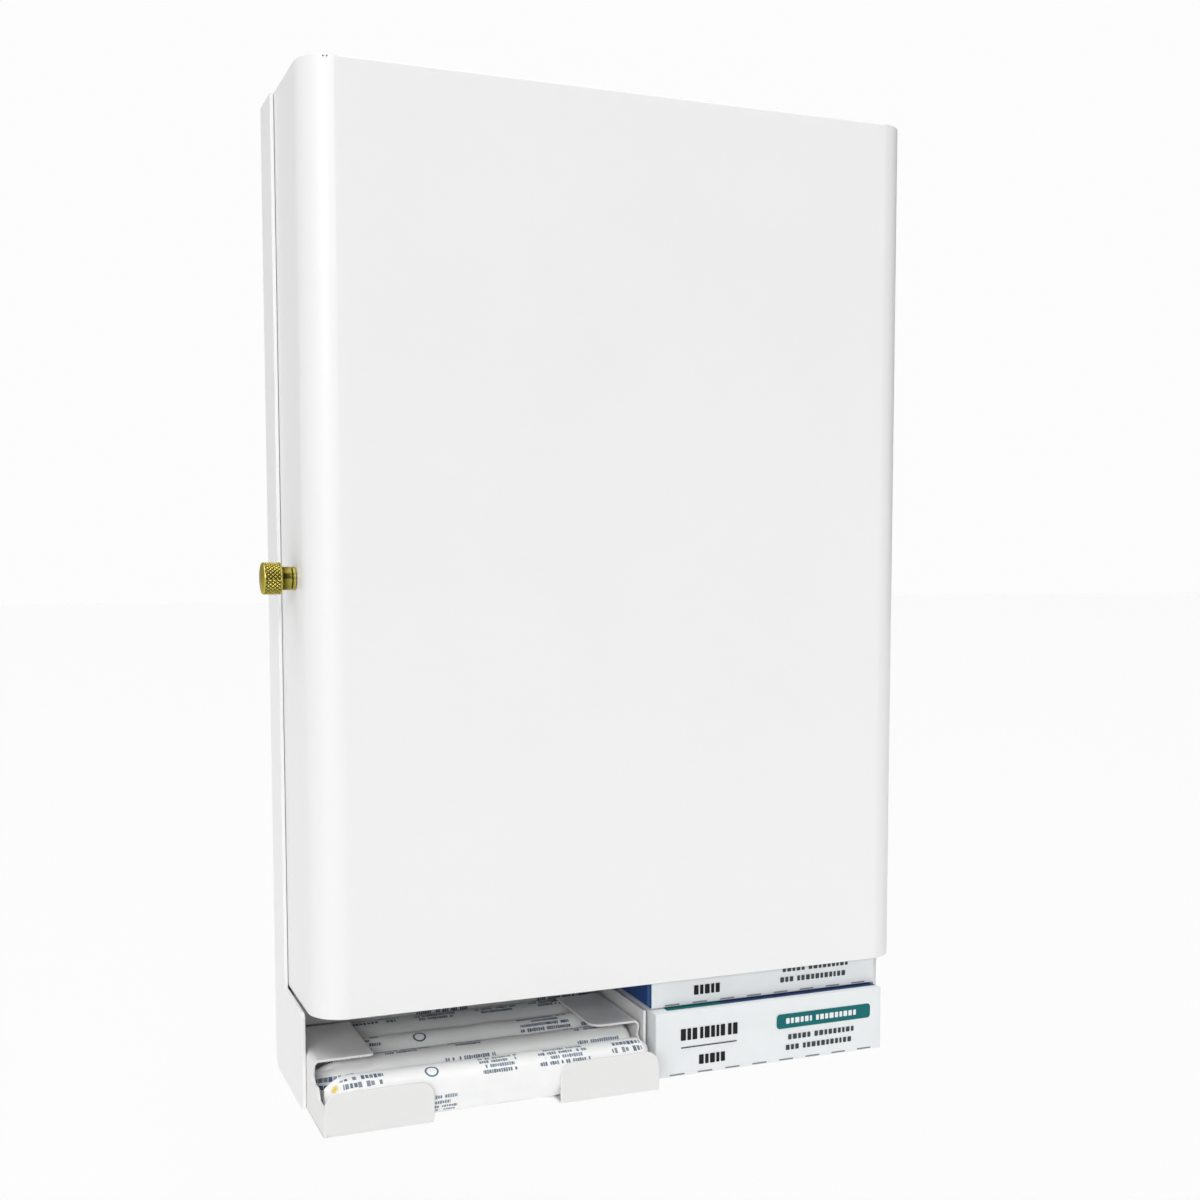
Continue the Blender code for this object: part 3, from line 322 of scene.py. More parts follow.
def mesh_of(bm):
    bmesh.ops.recalc_face_normals(bm, faces=bm.faces)
    mesh = bpy.data.meshes.new("mesh")
    bm.to_mesh(mesh)
    bm.free()
    return mesh


def rounded(points, radius, steps=BEND_STEPS, closed=False):
    """The same outline with an arc at each corner; a corner can bring its own radius."""
    result = []
    count = len(points)
    for i, point in enumerate(points):
        corner = Vector(point[:2])
        size = point[2] if len(point) > 2 else radius
        if size == 0 or (not closed and i in (0, count - 1)):
            result.append(corner)
            continue
        to_last = (Vector(points[i - 1][:2]) - corner).normalized()
        to_next = (Vector(points[(i + 1) % count][:2]) - corner).normalized()
        half = to_last.angle(to_next) / 2
        centre = corner + (to_last + to_next).normalized() * size / math.sin(half)
        start = corner + to_last * size / math.tan(half) - centre
        turn = start.angle_signed(corner + to_next * size / math.tan(half) - centre)
        for step in range(steps + 1):
            spun = start.copy()
            spun.rotate(Matrix.Rotation(-turn * step / steps, 2))
            result.append(centre + spun)
    return result


def flat_mesh(thickness, *outlines):
    """Closed outlines, filled and drawn up from z = 0 to the thickness."""
    curve = bpy.data.curves.new("outlines", "CURVE")
    curve.dimensions = "2D"
    curve.fill_mode = "BOTH"
    curve.extrude = thickness / 2
    for outline in outlines:
        spline = curve.splines.new("POLY")
        spline.points.add(len(outline) - 1)
        for point, (x, y) in zip(spline.points, outline):
            point.co = (x, y, 0, 1)
        spline.use_cyclic_u = True
    helper = bpy.data.objects.new("outlines", curve)
    mesh = bpy.data.meshes.new_from_object(helper)
    bpy.data.objects.remove(helper)
    bm = bmesh.new()
    bm.from_mesh(mesh)
    bmesh.ops.remove_doubles(bm, verts=bm.verts, dist=SAME_PLACE)
    bmesh.ops.translate(bm, verts=bm.verts, vec=(0, 0, thickness / 2))
    return mesh_of(bm)


def strip_mesh(profile, length):
    """An open profile drawn out along +Z as a bare surface."""
    bm = bmesh.new()
    verts = [bm.verts.new((x, y, 0)) for x, y in profile]
    edges = [bm.edges.new(pair) for pair in zip(verts, verts[1:])]
    drawn = bmesh.ops.extrude_edge_only(bm, edges=edges)["geom"]
    moved = [item for item in drawn if isinstance(item, bmesh.types.BMVert)]
    bmesh.ops.translate(bm, verts=moved, vec=(0, 0, length))
    return mesh_of(bm)


def block_mesh(low, high):
    low, high = Vector(low), Vector(high)
    bm = bmesh.new()
    bmesh.ops.create_cube(bm, size=1)
    bmesh.ops.scale(bm, vec=high - low, verts=bm.verts)
    bmesh.ops.translate(bm, vec=(low + high) / 2, verts=bm.verts)
    return mesh_of(bm)


def rods_mesh(centres, axis, radius, length):
    """Round rods along X or Y, one about each centre."""
    bm = bmesh.new()
    turn = Matrix.Rotation(math.pi / 2, 4, {"X": "Y", "Y": "X"}[axis])
    for centre in centres:
        rod = bmesh.ops.create_cone(
            bm, cap_ends=True, segments=ROD_SIDES, radius1=radius, radius2=radius, depth=length
        )["verts"]
        bmesh.ops.transform(bm, matrix=turn, verts=rod)
        bmesh.ops.translate(bm, vec=centre, verts=rod)
    return mesh_of(bm)


def joined_mesh(meshes):
    bm = bmesh.new()
    for mesh in meshes:
        bm.from_mesh(mesh)
    return mesh_of(bm)


def laid(mesh, axis, start):
    """Turns a mesh drawn in its own XY plane so that it stands across the named world axis."""
    turns = {
        "X": Matrix(((0, 0, 1, 0), (1, 0, 0, 0), (0, 1, 0, 0), (0, 0, 0, 1))),
        "Y": Matrix(((1, 0, 0, 0), (0, 0, -1, 0), (0, 1, 0, 0), (0, 0, 0, 1))),
        "Z": Matrix.Identity(4),
    }
    shift = {"X": (start, 0, 0), "Y": (0, start, 0), "Z": (0, 0, start)}[axis]
    mesh.transform(Matrix.Translation(shift) @ turns[axis])
    return mesh


def settle(obj):
    """Applies every modifier."""
    graph = bpy.context.evaluated_depsgraph_get()
    mesh = bpy.data.meshes.new_from_object(obj.evaluated_get(graph))
    obj.modifiers.clear()
    obj.data = mesh
    return obj


def thicken(obj, thickness=SHEET):
    shell = obj.modifiers.new("sheet", "SOLIDIFY")
    shell.thickness = thickness
    shell.offset = 0
    shell.use_even_offset = True
    return settle(obj)


def boolean(obj, mesh, operation):
    tool = new_object("tool", mesh)
    made = obj.modifiers.new(operation, "BOOLEAN")
    made.operation = operation
    made.solver = "EXACT"
    made.object = tool
    settle(obj)
    bpy.data.objects.remove(tool)
    return obj


def cut(obj, mesh):
    return boolean(obj, mesh, "DIFFERENCE")


def weld(obj):
    """Joins the slivers that Booleans leave, so that the edges can be rounded in full."""
    bm = bmesh.new()
    bm.from_mesh(obj.data)
    bmesh.ops.remove_doubles(bm, verts=bm.verts, dist=WELD)
    bmesh.ops.dissolve_limit(bm, angle_limit=FLAT_ANGLE, verts=bm.verts, edges=bm.edges)
    bm.to_mesh(obj.data)
    bm.free()


def draw_back(obj, sharp, reach):
    """Pulls in the points that rounding throws clear of the sheet where edges crowd together."""
    sheet = BVHTree.FromBMesh(sharp)
    spans = [(min(axis), max(axis)) for axis in zip(*(vert.co for vert in sharp.verts))]
    for vert in obj.data.vertices:
        place, _, _, gap = sheet.find_nearest(vert.co)
        if gap > reach:
            vert.co = place
        vert.co = [min(max(value, low), high) for value, (low, high) in zip(vert.co, spans)]


def round_edges(obj, width=SHEET_EDGE):
    """Rounds the sharp edges a little, as paint does."""
    weld(obj)
    sharp = bmesh.new()
    sharp.from_mesh(obj.data)
    bevel = obj.modifiers.new("edges", "BEVEL")
    bevel.use_clamp_overlap = False
    bevel.width = width
    bevel.segments = EDGE_SEGMENTS
    bevel.limit_method = "ANGLE"
    bevel.angle_limit = SHARP_ANGLE
    bevel.miter_outer = "MITER_ARC"
    settle(obj)
    draw_back(obj, sharp, CLEAR_SHARE * width)
    sharp.free()
    return obj


def soften(bm, edges, size, segments):
    """Rounds edges of a mesh that is still being made."""
    bmesh.ops.bevel(bm, geom=edges, offset=size, segments=segments, profile=0.5, affect="EDGES")


def smooth(mesh):
    """Smooth shading, but for the sharp edges."""
    for face in mesh.polygons:
        face.use_smooth = True
    mesh.set_sharp_from_angle(angle=SHARP_ANGLE)


def shade(obj):
    """Smooth shading that keeps the flat panels flat."""
    smooth(obj.data)
    weighted = obj.modifiers.new("normals", "WEIGHTED_NORMAL")
    weighted.keep_sharp = True
    return settle(obj)


def numbered(prefix):
    """The nodes named by this prefix and a number, in order."""
    return sorted(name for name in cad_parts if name.startswith(prefix) and name[-1].isdigit())


def dress(obj, material, body, slot, *nodes):
    """Gives a piece its material and its body, and hides the CAD nodes it stands for; the slot is not
    used.
    """
    if material is not None:
        obj.data.materials.clear()
        obj.data.materials.append(material)
    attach(obj, body)
    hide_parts(*nodes)


# Materials


def principled(name):
    made = bpy.data.materials.new(name)
    made.use_nodes = True
    return made, made.node_tree, made.node_tree.nodes["Principled BSDF"]


def new_node(tree, kind, values=None, **settings):
    """A shader node; its inputs get numbers, colours or other nodes' outputs, by name or number."""
    node = tree.nodes.new("ShaderNode" + kind)
    for name, value in settings.items():
        setattr(node, name, value)
    feed(tree, node, values or {})
    return node


def feed(tree, node, values):
    for place, value in values.items():
        if isinstance(value, bpy.types.NodeSocket):
            tree.links.new(value, node.inputs[place])
        else:
            node.inputs[place].default_value = value


def maths(tree, operation, first, second=0.0):
    return new_node(tree, "Math", {0: first, 1: second}, operation=operation).outputs[0]


def noise_on(tree, scale, detail=3.0, roughness=0.5):
    """Noise over the object's own coordinates."""
    place = new_node(tree, "TexCoord").outputs["Object"]
    values = {"Vector": place, "Scale": scale, "Detail": detail, "Roughness": roughness}
    return new_node(tree, "TexNoise", values).outputs["Fac"]


def random_on(tree, *values):
    """White noise of three numbers."""
    place = new_node(tree, "CombineXYZ", dict(enumerate(values))).outputs[0]
    node = new_node(tree, "TexWhiteNoise", {"Vector": place}, noise_dimensions="3D")
    return node.outputs["Value"]


def mapped(tree, value, span, easing="LINEAR"):
    """Takes a value from one range to another: the first one's ends, then the second one's."""
    ends = dict(zip(("From Min", "From Max", "To Min", "To Max"), span))
    node = new_node(tree, "MapRange", {"Value": value, **ends}, interpolation_type=easing)
    return node.outputs["Result"]


def ranged(tree, value, low, high):
    """Takes a value that runs from 0 to 1 to the given range."""
    return mapped(tree, value, (0.0, 1.0, low, high))


def uneven(tree, scale, low, high):
    """A number that drifts between two values."""
    return ranged(tree, noise_on(tree, scale), low, high)


def mixed(tree, factor, first, second):
    """A colour between two colours; each is a tuple or a socket."""
    values = dict(zip(MIX_INPUTS, (factor, first, second)))
    return new_node(tree, "Mix", values, data_type="RGBA").outputs[MIX_RESULT]


def drifting(tree, drift, tones):
    """A colour that drifts between two tones."""
    return mixed(tree, noise_on(tree, *drift), *tones)


def finish(tree, shader, colour, gloss, grain):
    """Gives a shader its colour, a roughness that drifts and a fine bump."""
    texture, depth, strength = grain
    height = noise_on(tree, *texture)
    bump = new_node(tree, "Bump", {"Distance": depth, "Strength": strength, "Height": height})
    roughness = uneven(tree, *gloss)
    feed(tree, shader, {"Base Color": colour, "Roughness": roughness, "Normal": bump.outputs[0]})


def coat_material(name, tones):
    """Powder coat: nearly even white, a soft gloss and a faint orange peel."""
    made, tree, shader = principled(name)
    finish(tree, shader, drifting(tree, COAT_DRIFT, tones), COAT_GLOSS, COAT_GRAIN)
    return made


def zinc_material():
    """Bright zinc plating with a faint grain."""
    made, tree, shader = principled("zinc_plated_steel")
    finish(tree, shader, drifting(tree, ZINC_DRIFT, ZINC_TONES), ZINC_GLOSS, ZINC_GRAIN)
    shader.inputs["Metallic"].default_value = 1.0
    return made


def brass_material():
    """Turned brass, lightly tarnished, darker in the grooves."""
    made, tree, shader = principled("knurled_brass")
    worn = mapped(tree, new_node(tree, "NewGeometry").outputs["Pointiness"], BRASS_WORN)
    colour = mixed(tree, worn, BRASS_TARNISH, drifting(tree, BRASS_DRIFT, BRASS_TONES))
    finish(tree, shader, colour, BRASS_GLOSS, BRASS_GRAIN)
    shader.inputs["Metallic"].default_value = 1.0
    shader.inputs["Specular Tint"].default_value = BRASS_EDGE
    return made


def print_places(tree):
    """The wrapper's own coordinates in millimetres: along it and round it."""
    place = new_node(tree, "UVMap", uv_map="wrap").outputs["UV"]
    return new_node(tree, "SeparateXYZ", {0: place}).outputs[:2]


def centred(tree, value, pitch):
    """Where a value lies in its cell, from -0.5 to 0.5."""
    return maths(tree, "SUBTRACT", maths(tree, "FRACT", maths(tree, "DIVIDE", value, pitch)), 0.5)


def cell(tree, value, pitch):
    return maths(tree, "FLOOR", maths(tree, "DIVIDE", value, pitch))


def within(tree, value, limit):
    return maths(tree, "LESS_THAN", maths(tree, "ABSOLUTE", value), limit)


def product(tree, *factors):
    result = factors[0]
    for factor in factors[1:]:
        result = maths(tree, "MULTIPLY", result, factor)
    return result


def stroke_lines(tree, along, around, column, size):
    """Rows of short upright strokes of uneven height, width and ink, one pitch apart."""
    pitch, dash, seed = size
    line = cell(tree, around, pitch)
    piece = cell(tree, along, dash)
    height = ranged(tree, random_on(tree, piece, line, seed + HEIGHT_DRAW), *STROKE_HEIGHT)
    width = ranged(tree, random_on(tree, piece, line, seed + WIDTH_DRAW), *STROKE_WIDTH)
    kept = maths(tree, "GREATER_THAN", random_on(tree, piece, line, seed + GAP_DRAW), GAP_SHARE)
    reach = ranged(tree, random_on(tree, line, column, seed + REACH_DRAW), *LINE_REACH)
    return product(
        tree,
        kept,
        within(tree, centred(tree, along, BLOCK_LENGTH), reach),
        within(tree, centred(tree, around, pitch), height),
        within(tree, centred(tree, along, dash), width),
        ranged(tree, random_on(tree, piece, line, seed + INK_DRAW), *STROKE_INK),
    )


def stroke_print(tree, along, around):
    """Blocks of strokes and plain rings: a mask that is 1 where there is full ink."""
    column = cell(tree, along, BLOCK_LENGTH)
    row = cell(tree, around, BLOCK_ROUND)
    upward = centred(tree, around, BLOCK_ROUND)
    chosen = random_on(tree, column, row, LAYOUT_SEED)
    fine = product(
        tree,
        stroke_lines(tree, along, around, column, FINE_PRINT),
        within(tree, upward, FINE_FRAME),
        maths(tree, "GREATER_THAN", chosen, FINE_SHARE[0]),
        maths(tree, "LESS_THAN", chosen, FINE_SHARE[1]),
    )
    bold = product(
        tree,
        stroke_lines(tree, along, around, column, BOLD_PRINT),
        within(tree, upward, BOLD_FRAME),
        maths(tree, "GREATER_THAN", chosen, FINE_SHARE[1]),
    )
    wide = product(tree, centred(tree, along, BLOCK_LENGTH), BLOCK_LENGTH)
    tall = product(tree, upward, BLOCK_ROUND)
    far = maths(tree, "SQRT", maths(tree, "ADD", product(tree, wide, wide), product(tree, tall, tall)))
    ring = within(tree, maths(tree, "SUBTRACT", far, RING_RADIUS), RING_LINE)
    ring = product(tree, ring, maths(tree, "LESS_THAN", chosen, RING_SHARE))
    return maths(tree, "MAXIMUM", maths(tree, "MAXIMUM", fine, bold), ring)


def wrapper_material():
    """Thin glossy white wrapper with strokes and rings in dark blue, and a yellow seal."""
    made, tree, shader = principled("printed_wrapper")
    along, around = print_places(tree)
    ink = product(tree, stroke_print(tree, along, around), uneven(tree, *INK_FADE))
    line, column = cell(tree, around, FINE_PRINT[0]), cell(tree, along, BLOCK_LENGTH)
    tone = mixed(tree, random_on(tree, line, column, TONE_SEED), *INK_TONES)
    printed = mixed(tree, ink, drifting(tree, PAPER_DRIFT, PAPER_TONES), tone)
    seal = new_node(tree, "Attribute", attribute_name="seal").outputs["Fac"]
    sealed = mixed(tree, seal, printed, SEAL_YELLOW)
    finish(tree, shader, sealed, PAPER_GLOSS, PAPER_GRAIN)
    return made


def card_material(name, colour, variation, gloss):
    """Coated carton board in one ink, with the fibre's faint mottling."""
    made, tree, shader = principled(name)
    darker = tuple(c * (1 - variation) for c in colour) + (1.0,)
    lighter = tuple(min(1.0, c * (1 + variation)) for c in colour) + (1.0,)
    finish(tree, shader, drifting(tree, CARD_DRIFT, (darker, lighter)), gloss, CARD_GRAIN)
    shader.inputs["Specular IOR Level"].default_value = CARD_SHINE
    return made


# Sheet-metal pieces


def centre_of(node):
    low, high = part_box(node)
    return (low + high) / 2


def rivet_rods(prefix):
    centres = [centre_of(name) for name in numbered(prefix)]
    return rods_mesh(centres, "X", RIVET_HOLE, 3 * OVERRUN)


def near(first, second):
    return abs(first - second) < NEAR


def cover_surface(low, high):
    """An open box as a bare surface: no back, no floor, rounded corners and brow."""
    bm = bmesh.new()
    bm.from_mesh(block_mesh(low, high))
    opened = [face for face in bm.faces if face.normal.y > FACING or face.normal.z < -FACING]
    bmesh.ops.delete(bm, geom=opened, context="FACES")
    posts = []
    for edge in bm.edges:
        first, last = (vert.co for vert in edge.verts)
        if near(first.x, last.x) and near(first.y, low.y) and near(last.y, low.y):
            posts.append(edge)
    soften(bm, posts, CORNER_RADIUS - SHEET / 2, CORNER_STEPS)
    brow = []
    for edge in bm.edges:
        if all(near(vert.co.y, low.y) and near(vert.co.z, high.z) for vert in edge.verts):
            brow.append(edge)
    soften(bm, brow, BROW_BEND - SHEET / 2, BEND_STEPS)
    return mesh_of(bm)


def make_cover_shell(coat):
    low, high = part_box("front_cover")
    half = SHEET / 2
    surface_low = Vector((low.x + half, low.y + half, low.z))
    surface_high = Vector((high.x - half, high.y, high.z - half))
    shell = thicken(new_object("cover_shell", cover_surface(surface_low, surface_high)))
    round_edges(shell)
    relief = [(low.x + inset, low.y, high.z - RELIEF_DROP) for inset in RELIEF_INSETS]
    cut(shell, rods_mesh(relief, "Y", RELIEF_RADIUS, 2 * OVERRUN))
    bay_low = (high.x - HINGE_RELIEF, -COVER_WALL_BACK, low.z - OVERRUN)
    bay_high = (high.x + OVERRUN, high.y + OVERRUN, high.z + OVERRUN)
    cut(shell, block_mesh(bay_low, bay_high))
    knob = centre_of("clamp_nut")
    knob.x = low.x
    cut(shell, rods_mesh([knob], "X", KNOB_HOLE, 2 * OVERRUN))
    cut(shell, rivet_rods("cover_rivet_"))
    dress(shade(shell), coat, "cover", "white_coat", "front_cover")


def flange_outline(low, high, mouth):
    """A side flange seen from the right: deep below the cover, shallow beside it."""
    step = mouth - FLANGE_STEP_DROP
    corners = [
        (0, low.z, FLANGE_CORNER),
        (low.y, low.z, FLANGE_EASE),
        (low.y, step - FLANGE_STEP_LEAN, TOP_BEND),
        (-FLANGE_DEPTH, step, 0),
        (-FLANGE_DEPTH, high.z, 0),
        (0, high.z, FLANGE_EASE),
    ]
    return rounded(corners, 0, closed=True)


def keyhole_outline(x, z):
    """A round entry with a slot above it, where the screw's neck comes to rest."""
    points = []
    steps = 2 * BEND_STEPS
    opening = math.asin(KEYHOLE_SLOT / KEYHOLE_HEAD)
    for step in range(steps + 1):
        angle = math.pi / 2 + opening + (2 * math.pi - 2 * opening) * step / steps
        points.append((x + KEYHOLE_HEAD * math.cos(angle), z + KEYHOLE_HEAD * math.sin(angle)))
    for step in range(steps + 1):
        angle = math.pi * step / steps
        slot_z = z + KEYHOLE_TRAVEL + KEYHOLE_SLOT * math.sin(angle)
        points.append((x + KEYHOLE_SLOT * math.cos(angle), slot_z))
    return points


def keyhole_places(high, mouth):
    """Two keyholes in line with each stock's front piece, upper and lower."""
    for node in ("tampon_front", "pad_box_front"):
        stock_low, stock_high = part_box(node)
        x = (stock_low.x + stock_high.x) / 2
        yield keyhole_outline(x, high.z - MOUNT_INSET)
        yield keyhole_outline(x, mouth + MOUNT_INSET)


def make_pan_shell(coat):
    """Back plate and side flanges bent from one sheet, with a top flange welded in."""
    low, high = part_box("back_pan")
    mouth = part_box("front_cover")[0].z
    inset = PAN_SHEET / 2
    left, right, back = low.x + inset, high.x - inset, high.y - inset
    profile = rounded([(left, low.y), (left, back), (right, back), (right, low.y)], PAN_BEND)
    shell = new_object("pan_shell", laid(strip_mesh(profile, high.z - low.z), "Z", low.z))
    thicken(shell, PAN_SHEET)
    kept = flat_mesh(high.x - low.x, flange_outline(low, high, mouth))
    boolean(shell, laid(kept, "X", low.x), "INTERSECT")
    top = high.z - TOP_FLANGE_DROP
    top_low = (low.x + SHEET + TOP_FLANGE_START, -FLANGE_DEPTH + SHEET, top - SHEET)
    top_high = (high.x - inset, -inset, top)
    boolean(shell, block_mesh(top_low, top_high), "UNION")
    holes = flat_mesh(2 * OVERRUN, *keyhole_places(high, mouth))
    cut(shell, laid(holes, "Y", OVERRUN))
    cut(shell, rivet_rods("cabinet_rivet_"))
    dress(shade(round_edges(shell, PAN_EDGE)), coat, "cabinet", "white_coat", "back_pan")


def cheek_outline(front, bottom, top):
    """What is cut from the front of the tray's side walls and wings, seen from the right."""
    over = top + 2 * OVERRUN
    edge = [
        (front + CHEEK_START - TRAY_BEND, bottom + CHEEK_HEIGHT),
        (front + CHEEK_START, bottom + CHEEK_HEIGHT),
        (front + CHEEK_CREST, bottom + CHEEK_NOSE_HEIGHT),
        (front + CHEEK_HOLLOW, bottom + CHEEK_NOSE_HEIGHT - SHEET / 2),
        (front + CHEEK_NOTCH, bottom + CHEEK_NOTCH_HEIGHT),
        (front + WING_START, top - SHEET - WING_BEND),
    ]
    outer = [(front - OVERRUN, over), (front - OVERRUN, bottom + CHEEK_HEIGHT)]
    return outer + rounded(edge, SHEET) + [(front + WING_START, over)]


def corner_mesh(x, y, radius, toward_x, toward_y):
    """The sliver outside a rounded corner; the two signs point away from the piece."""
    outline = [(x + toward_x * OVERRUN, y + toward_y * OVERRUN)]
    outline.append((x + toward_x * OVERRUN, y - toward_y * radius))
    for step in range(BEND_STEPS + 1):
        angle = math.pi / 2 * step / BEND_STEPS
        across = x - toward_x * radius + toward_x * radius * math.cos(angle)
        outline.append((across, y - toward_y * radius + toward_y * radius * math.sin(angle)))
    outline.append((x - toward_x * radius, y + toward_y * OVERRUN))
    return flat_mesh(OVERRUN, outline)


def cut_corners(obj, corners, axis, start):
    """Rounds corners in the plane across an axis, each from its place, radius and signs."""
    cutter = joined_mesh([corner_mesh(*corner) for corner in corners])
    cut(obj, laid(cutter, axis, start))


def tray_walls(low, high):
    inset = SHEET / 2
    left, right = low.x + inset, high.x - inset
    wing = high.z - inset
    walls = []
    for edge, reach in ((left, LEFT_WING - inset), (right, inset - RIGHT_WING)):
        profile = rounded([(edge + reach, wing), (edge, wing), (edge, low.z + inset)], WING_BEND)
        walls.append(laid(strip_mesh(profile, high.y - low.y), "Y", high.y))
    tray = thicken(new_object("tray_shell", joined_mesh(walls)))
    cheeks = flat_mesh(high.x - low.x + 2 * OVERRUN, cheek_outline(low.y, low.z, high.z))
    cut(tray, laid(cheeks, "X", low.x - OVERRUN))
    rear_low = (low.x + SHEET, low.y + WING_END, high.z - SHEET - WING_BEND)
    rear_high = (high.x - SHEET, high.y + OVERRUN, high.z + OVERRUN)
    return cut(tray, block_mesh(rear_low, rear_high))


def round_wings(tray, low, high):
    front = low.y + WING_START
    left = (low.x + LEFT_WING, front, LEFT_WING_CORNER, 1, -1)
    right = (high.x - RIGHT_WING, front, RIGHT_WING_CORNER, -1, -1)
    cut_corners(tray, (left, right), "Z", high.z - OVERRUN / 2)


def add_tray_floor(tray, low, high, front_bend):
    rear = high.y - SHEET / 2
    base = low.z + SHEET / 2
    front = low.y + SHEET / 2
    rise = (rear - front_bend) * math.tan(TRAY_SLOPE)
    corners = [
        (front, low.z + LIP_HEIGHT),
        (front, base),
        (front_bend, base, 0),
        (rear, base + rise),
        (rear, base + rise + SHEET / 2 + REAR_LIP),
    ]
    floor = strip_mesh(rounded(corners, TRAY_BEND), high.x - low.x - 2 * SHEET_OVERLAP)
    plate = thicken(new_object("tray_floor", laid(floor, "X", low.x + SHEET_OVERLAP)))
    mesh = plate.data
    bpy.data.objects.remove(plate)
    boolean(tray, mesh, "UNION")


def cut_finger_gap(tray, low, high):
    middle = (low.x + high.x) / 2
    half = FINGER_GAP / 2
    corners = [
        (middle - half, low.y - OVERRUN, 0),
        (middle + half, low.y - OVERRUN, 0),
        (middle + half, low.y + FINGER_CUT),
        (middle - half, low.y + FINGER_CUT),
    ]
    gap = flat_mesh(LIP_HEIGHT + 2 * OVERRUN, rounded(corners, FINGER_FILLET, closed=True))
    cut(tray, laid(gap, "Z", low.z - OVERRUN))


def round_lips(tray, low, high):
    middle = (low.x + high.x) / 2
    top = low.z + LIP_HEIGHT
    corners = []
    for side in (-1, 1):
        outer = middle + side * ((high.x - low.x) / 2 - SHEET_OVERLAP)
        inner = middle + side * FINGER_GAP / 2
        corners.append((outer, top, LIP_CORNER, side, 1))
        corners.append((inner, top, LIP_CORNER, -side, 1))
        corners.append((inner, low.z, LIP_FOOT, -side, -1))
    cut_corners(tray, corners, "Y", low.y + 2 * SHEET)


def make_tray_shell(coat):
    low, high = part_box("tampon_tray")
    front_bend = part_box("front_cover")[0].y
    tray = tray_walls(low, high)
    round_wings(tray, low, high)
    add_tray_floor(tray, low, high, front_bend)
    cut_finger_gap(tray, low, high)
    round_lips(tray, low, high)
    dress(shade(round_edges(tray)), coat, "cabinet", "white_coat", "tampon_tray")


# Thumb screw


def knob_profile():
    """Rings (along, radius, knurled share) from the tip of the head to the end of the shank."""
    head_end = -SEAT_GAP - NECK_LENGTH
    tip = head_end - KNOB_LENGTH
    rings = [(tip - KNOB_CROWN, 0.0, 0.0)]
    flat = KNOB_RADIUS - KNOB_RIM
    for step in range(1, EDGE_STEPS + 1):
        share = step / EDGE_STEPS
        rings.append((tip - KNOB_CROWN * (1 - share**2), flat * share, 0.0))
    for step in range(1, EDGE_STEPS + 1):
        angle = math.pi / 2 * step / EDGE_STEPS
        along = tip + KNOB_EDGE * (1 - math.cos(angle))
        rings.append((along, flat + KNOB_RIM * math.sin(angle), 0.0))
    start, end = tip + KNOB_EDGE, head_end - KNOB_EDGE
    count = round((end - start) / KNURL_STEP)
    for step in range(1, count):
        along = start + (end - start) * step / count
        edge = min(along - start, end - along)
        rings.append((along, KNOB_RADIUS, min(1.0, edge / KNURL_MARGIN)))
    for step in range(EDGE_STEPS + 1):
        angle = math.pi / 2 * step / EDGE_STEPS
        along = end + KNOB_EDGE * math.sin(angle)
        rings.append((along, KNOB_RADIUS - KNOB_EDGE * (1 - math.cos(angle)), 0.0))
    return rings + neck_profile(head_end)


def neck_profile(head_end):
    """The neck with its fine groove, then the shank with the retaining ring's groove."""
    slim = NECK_RADIUS - NECK_GROOVE
    groove_start, groove_end, groove_radius = RING_GROOVE
    corners = [
        (head_end, NECK_RADIUS),
        (-3 * NECK_GROOVE, NECK_RADIUS),
        (-3 * NECK_GROOVE, slim),
        (-2 * NECK_GROOVE, slim),
        (-2 * NECK_GROOVE, NECK_RADIUS),
        (-SEAT_GAP, NECK_RADIUS),
        (-SEAT_GAP, SHANK_RADIUS),
        (groove_start, SHANK_RADIUS),
        (groove_start, groove_radius),
        (groove_end, groove_radius),
        (groove_end, SHANK_RADIUS),
        (SHANK_LENGTH - KNOB_EDGE, SHANK_RADIUS),
        (SHANK_LENGTH, SHANK_RADIUS - KNOB_EDGE),
        (SHANK_LENGTH, 0.0),
    ]
    return [(along, radius, 0.0) for along, radius in corners]


def knurled(along, angle, radius, share):
    """The radius cut by two crossing families of helical grooves."""
    if share == 0.0:
        return radius
    turn = KNURL_COUNT * angle / (2 * math.pi)
    lead = along / KNURL_LENGTH
    heights = []
    for way in (-1, 1):
        phase = (turn + way * lead) % 1.0
        heights.append(min(phase, 1.0 - phase) * 2)
    return radius - KNURL_DEPTH * share * (1 - min(1.0, KNURL_FLANK * min(heights)))


def turned_mesh(rings):
    """A turned piece about X, closed at both ends."""
    bm = bmesh.new()
    last = None
    for along, radius, share in rings:
        if radius == 0.0:
            loop = [bm.verts.new((along, 0, 0))] * KNOB_SIDES
        else:
            loop = []
            for side in range(KNOB_SIDES):
                angle = 2 * math.pi * side / KNOB_SIDES
                size = knurled(along, angle, radius, share)
                loop.append(bm.verts.new((along, size * math.cos(angle), size * math.sin(angle))))
        if last:
            for side in range(KNOB_SIDES):
                after = (side + 1) % KNOB_SIDES
                corners = [last[side], last[after], loop[after], loop[side]]
                bm.faces.new(list(dict.fromkeys(corners)))
        last = loop
    return mesh_of(bm)


def make_knob(brass):
    seat = centre_of("clamp_nut")
    seat.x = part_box("front_cover")[0].x
    knob = new_object("knurled_thumb_screw", turned_mesh(knob_profile()))
    knob.data.transform(Matrix.Translation(seat))
    smooth(knob.data)
    dress(knob, brass, "thumb_screw", "brass", "thumb_screw")


# Wrapped tampons


def crimp_depth(along, length):
    """How far into the left end's crimp a place is: 0 at its start, 1 at the very end."""
    return max(0.0, (WRAP_CRIMP - length / 2 - along) / WRAP_CRIMP)


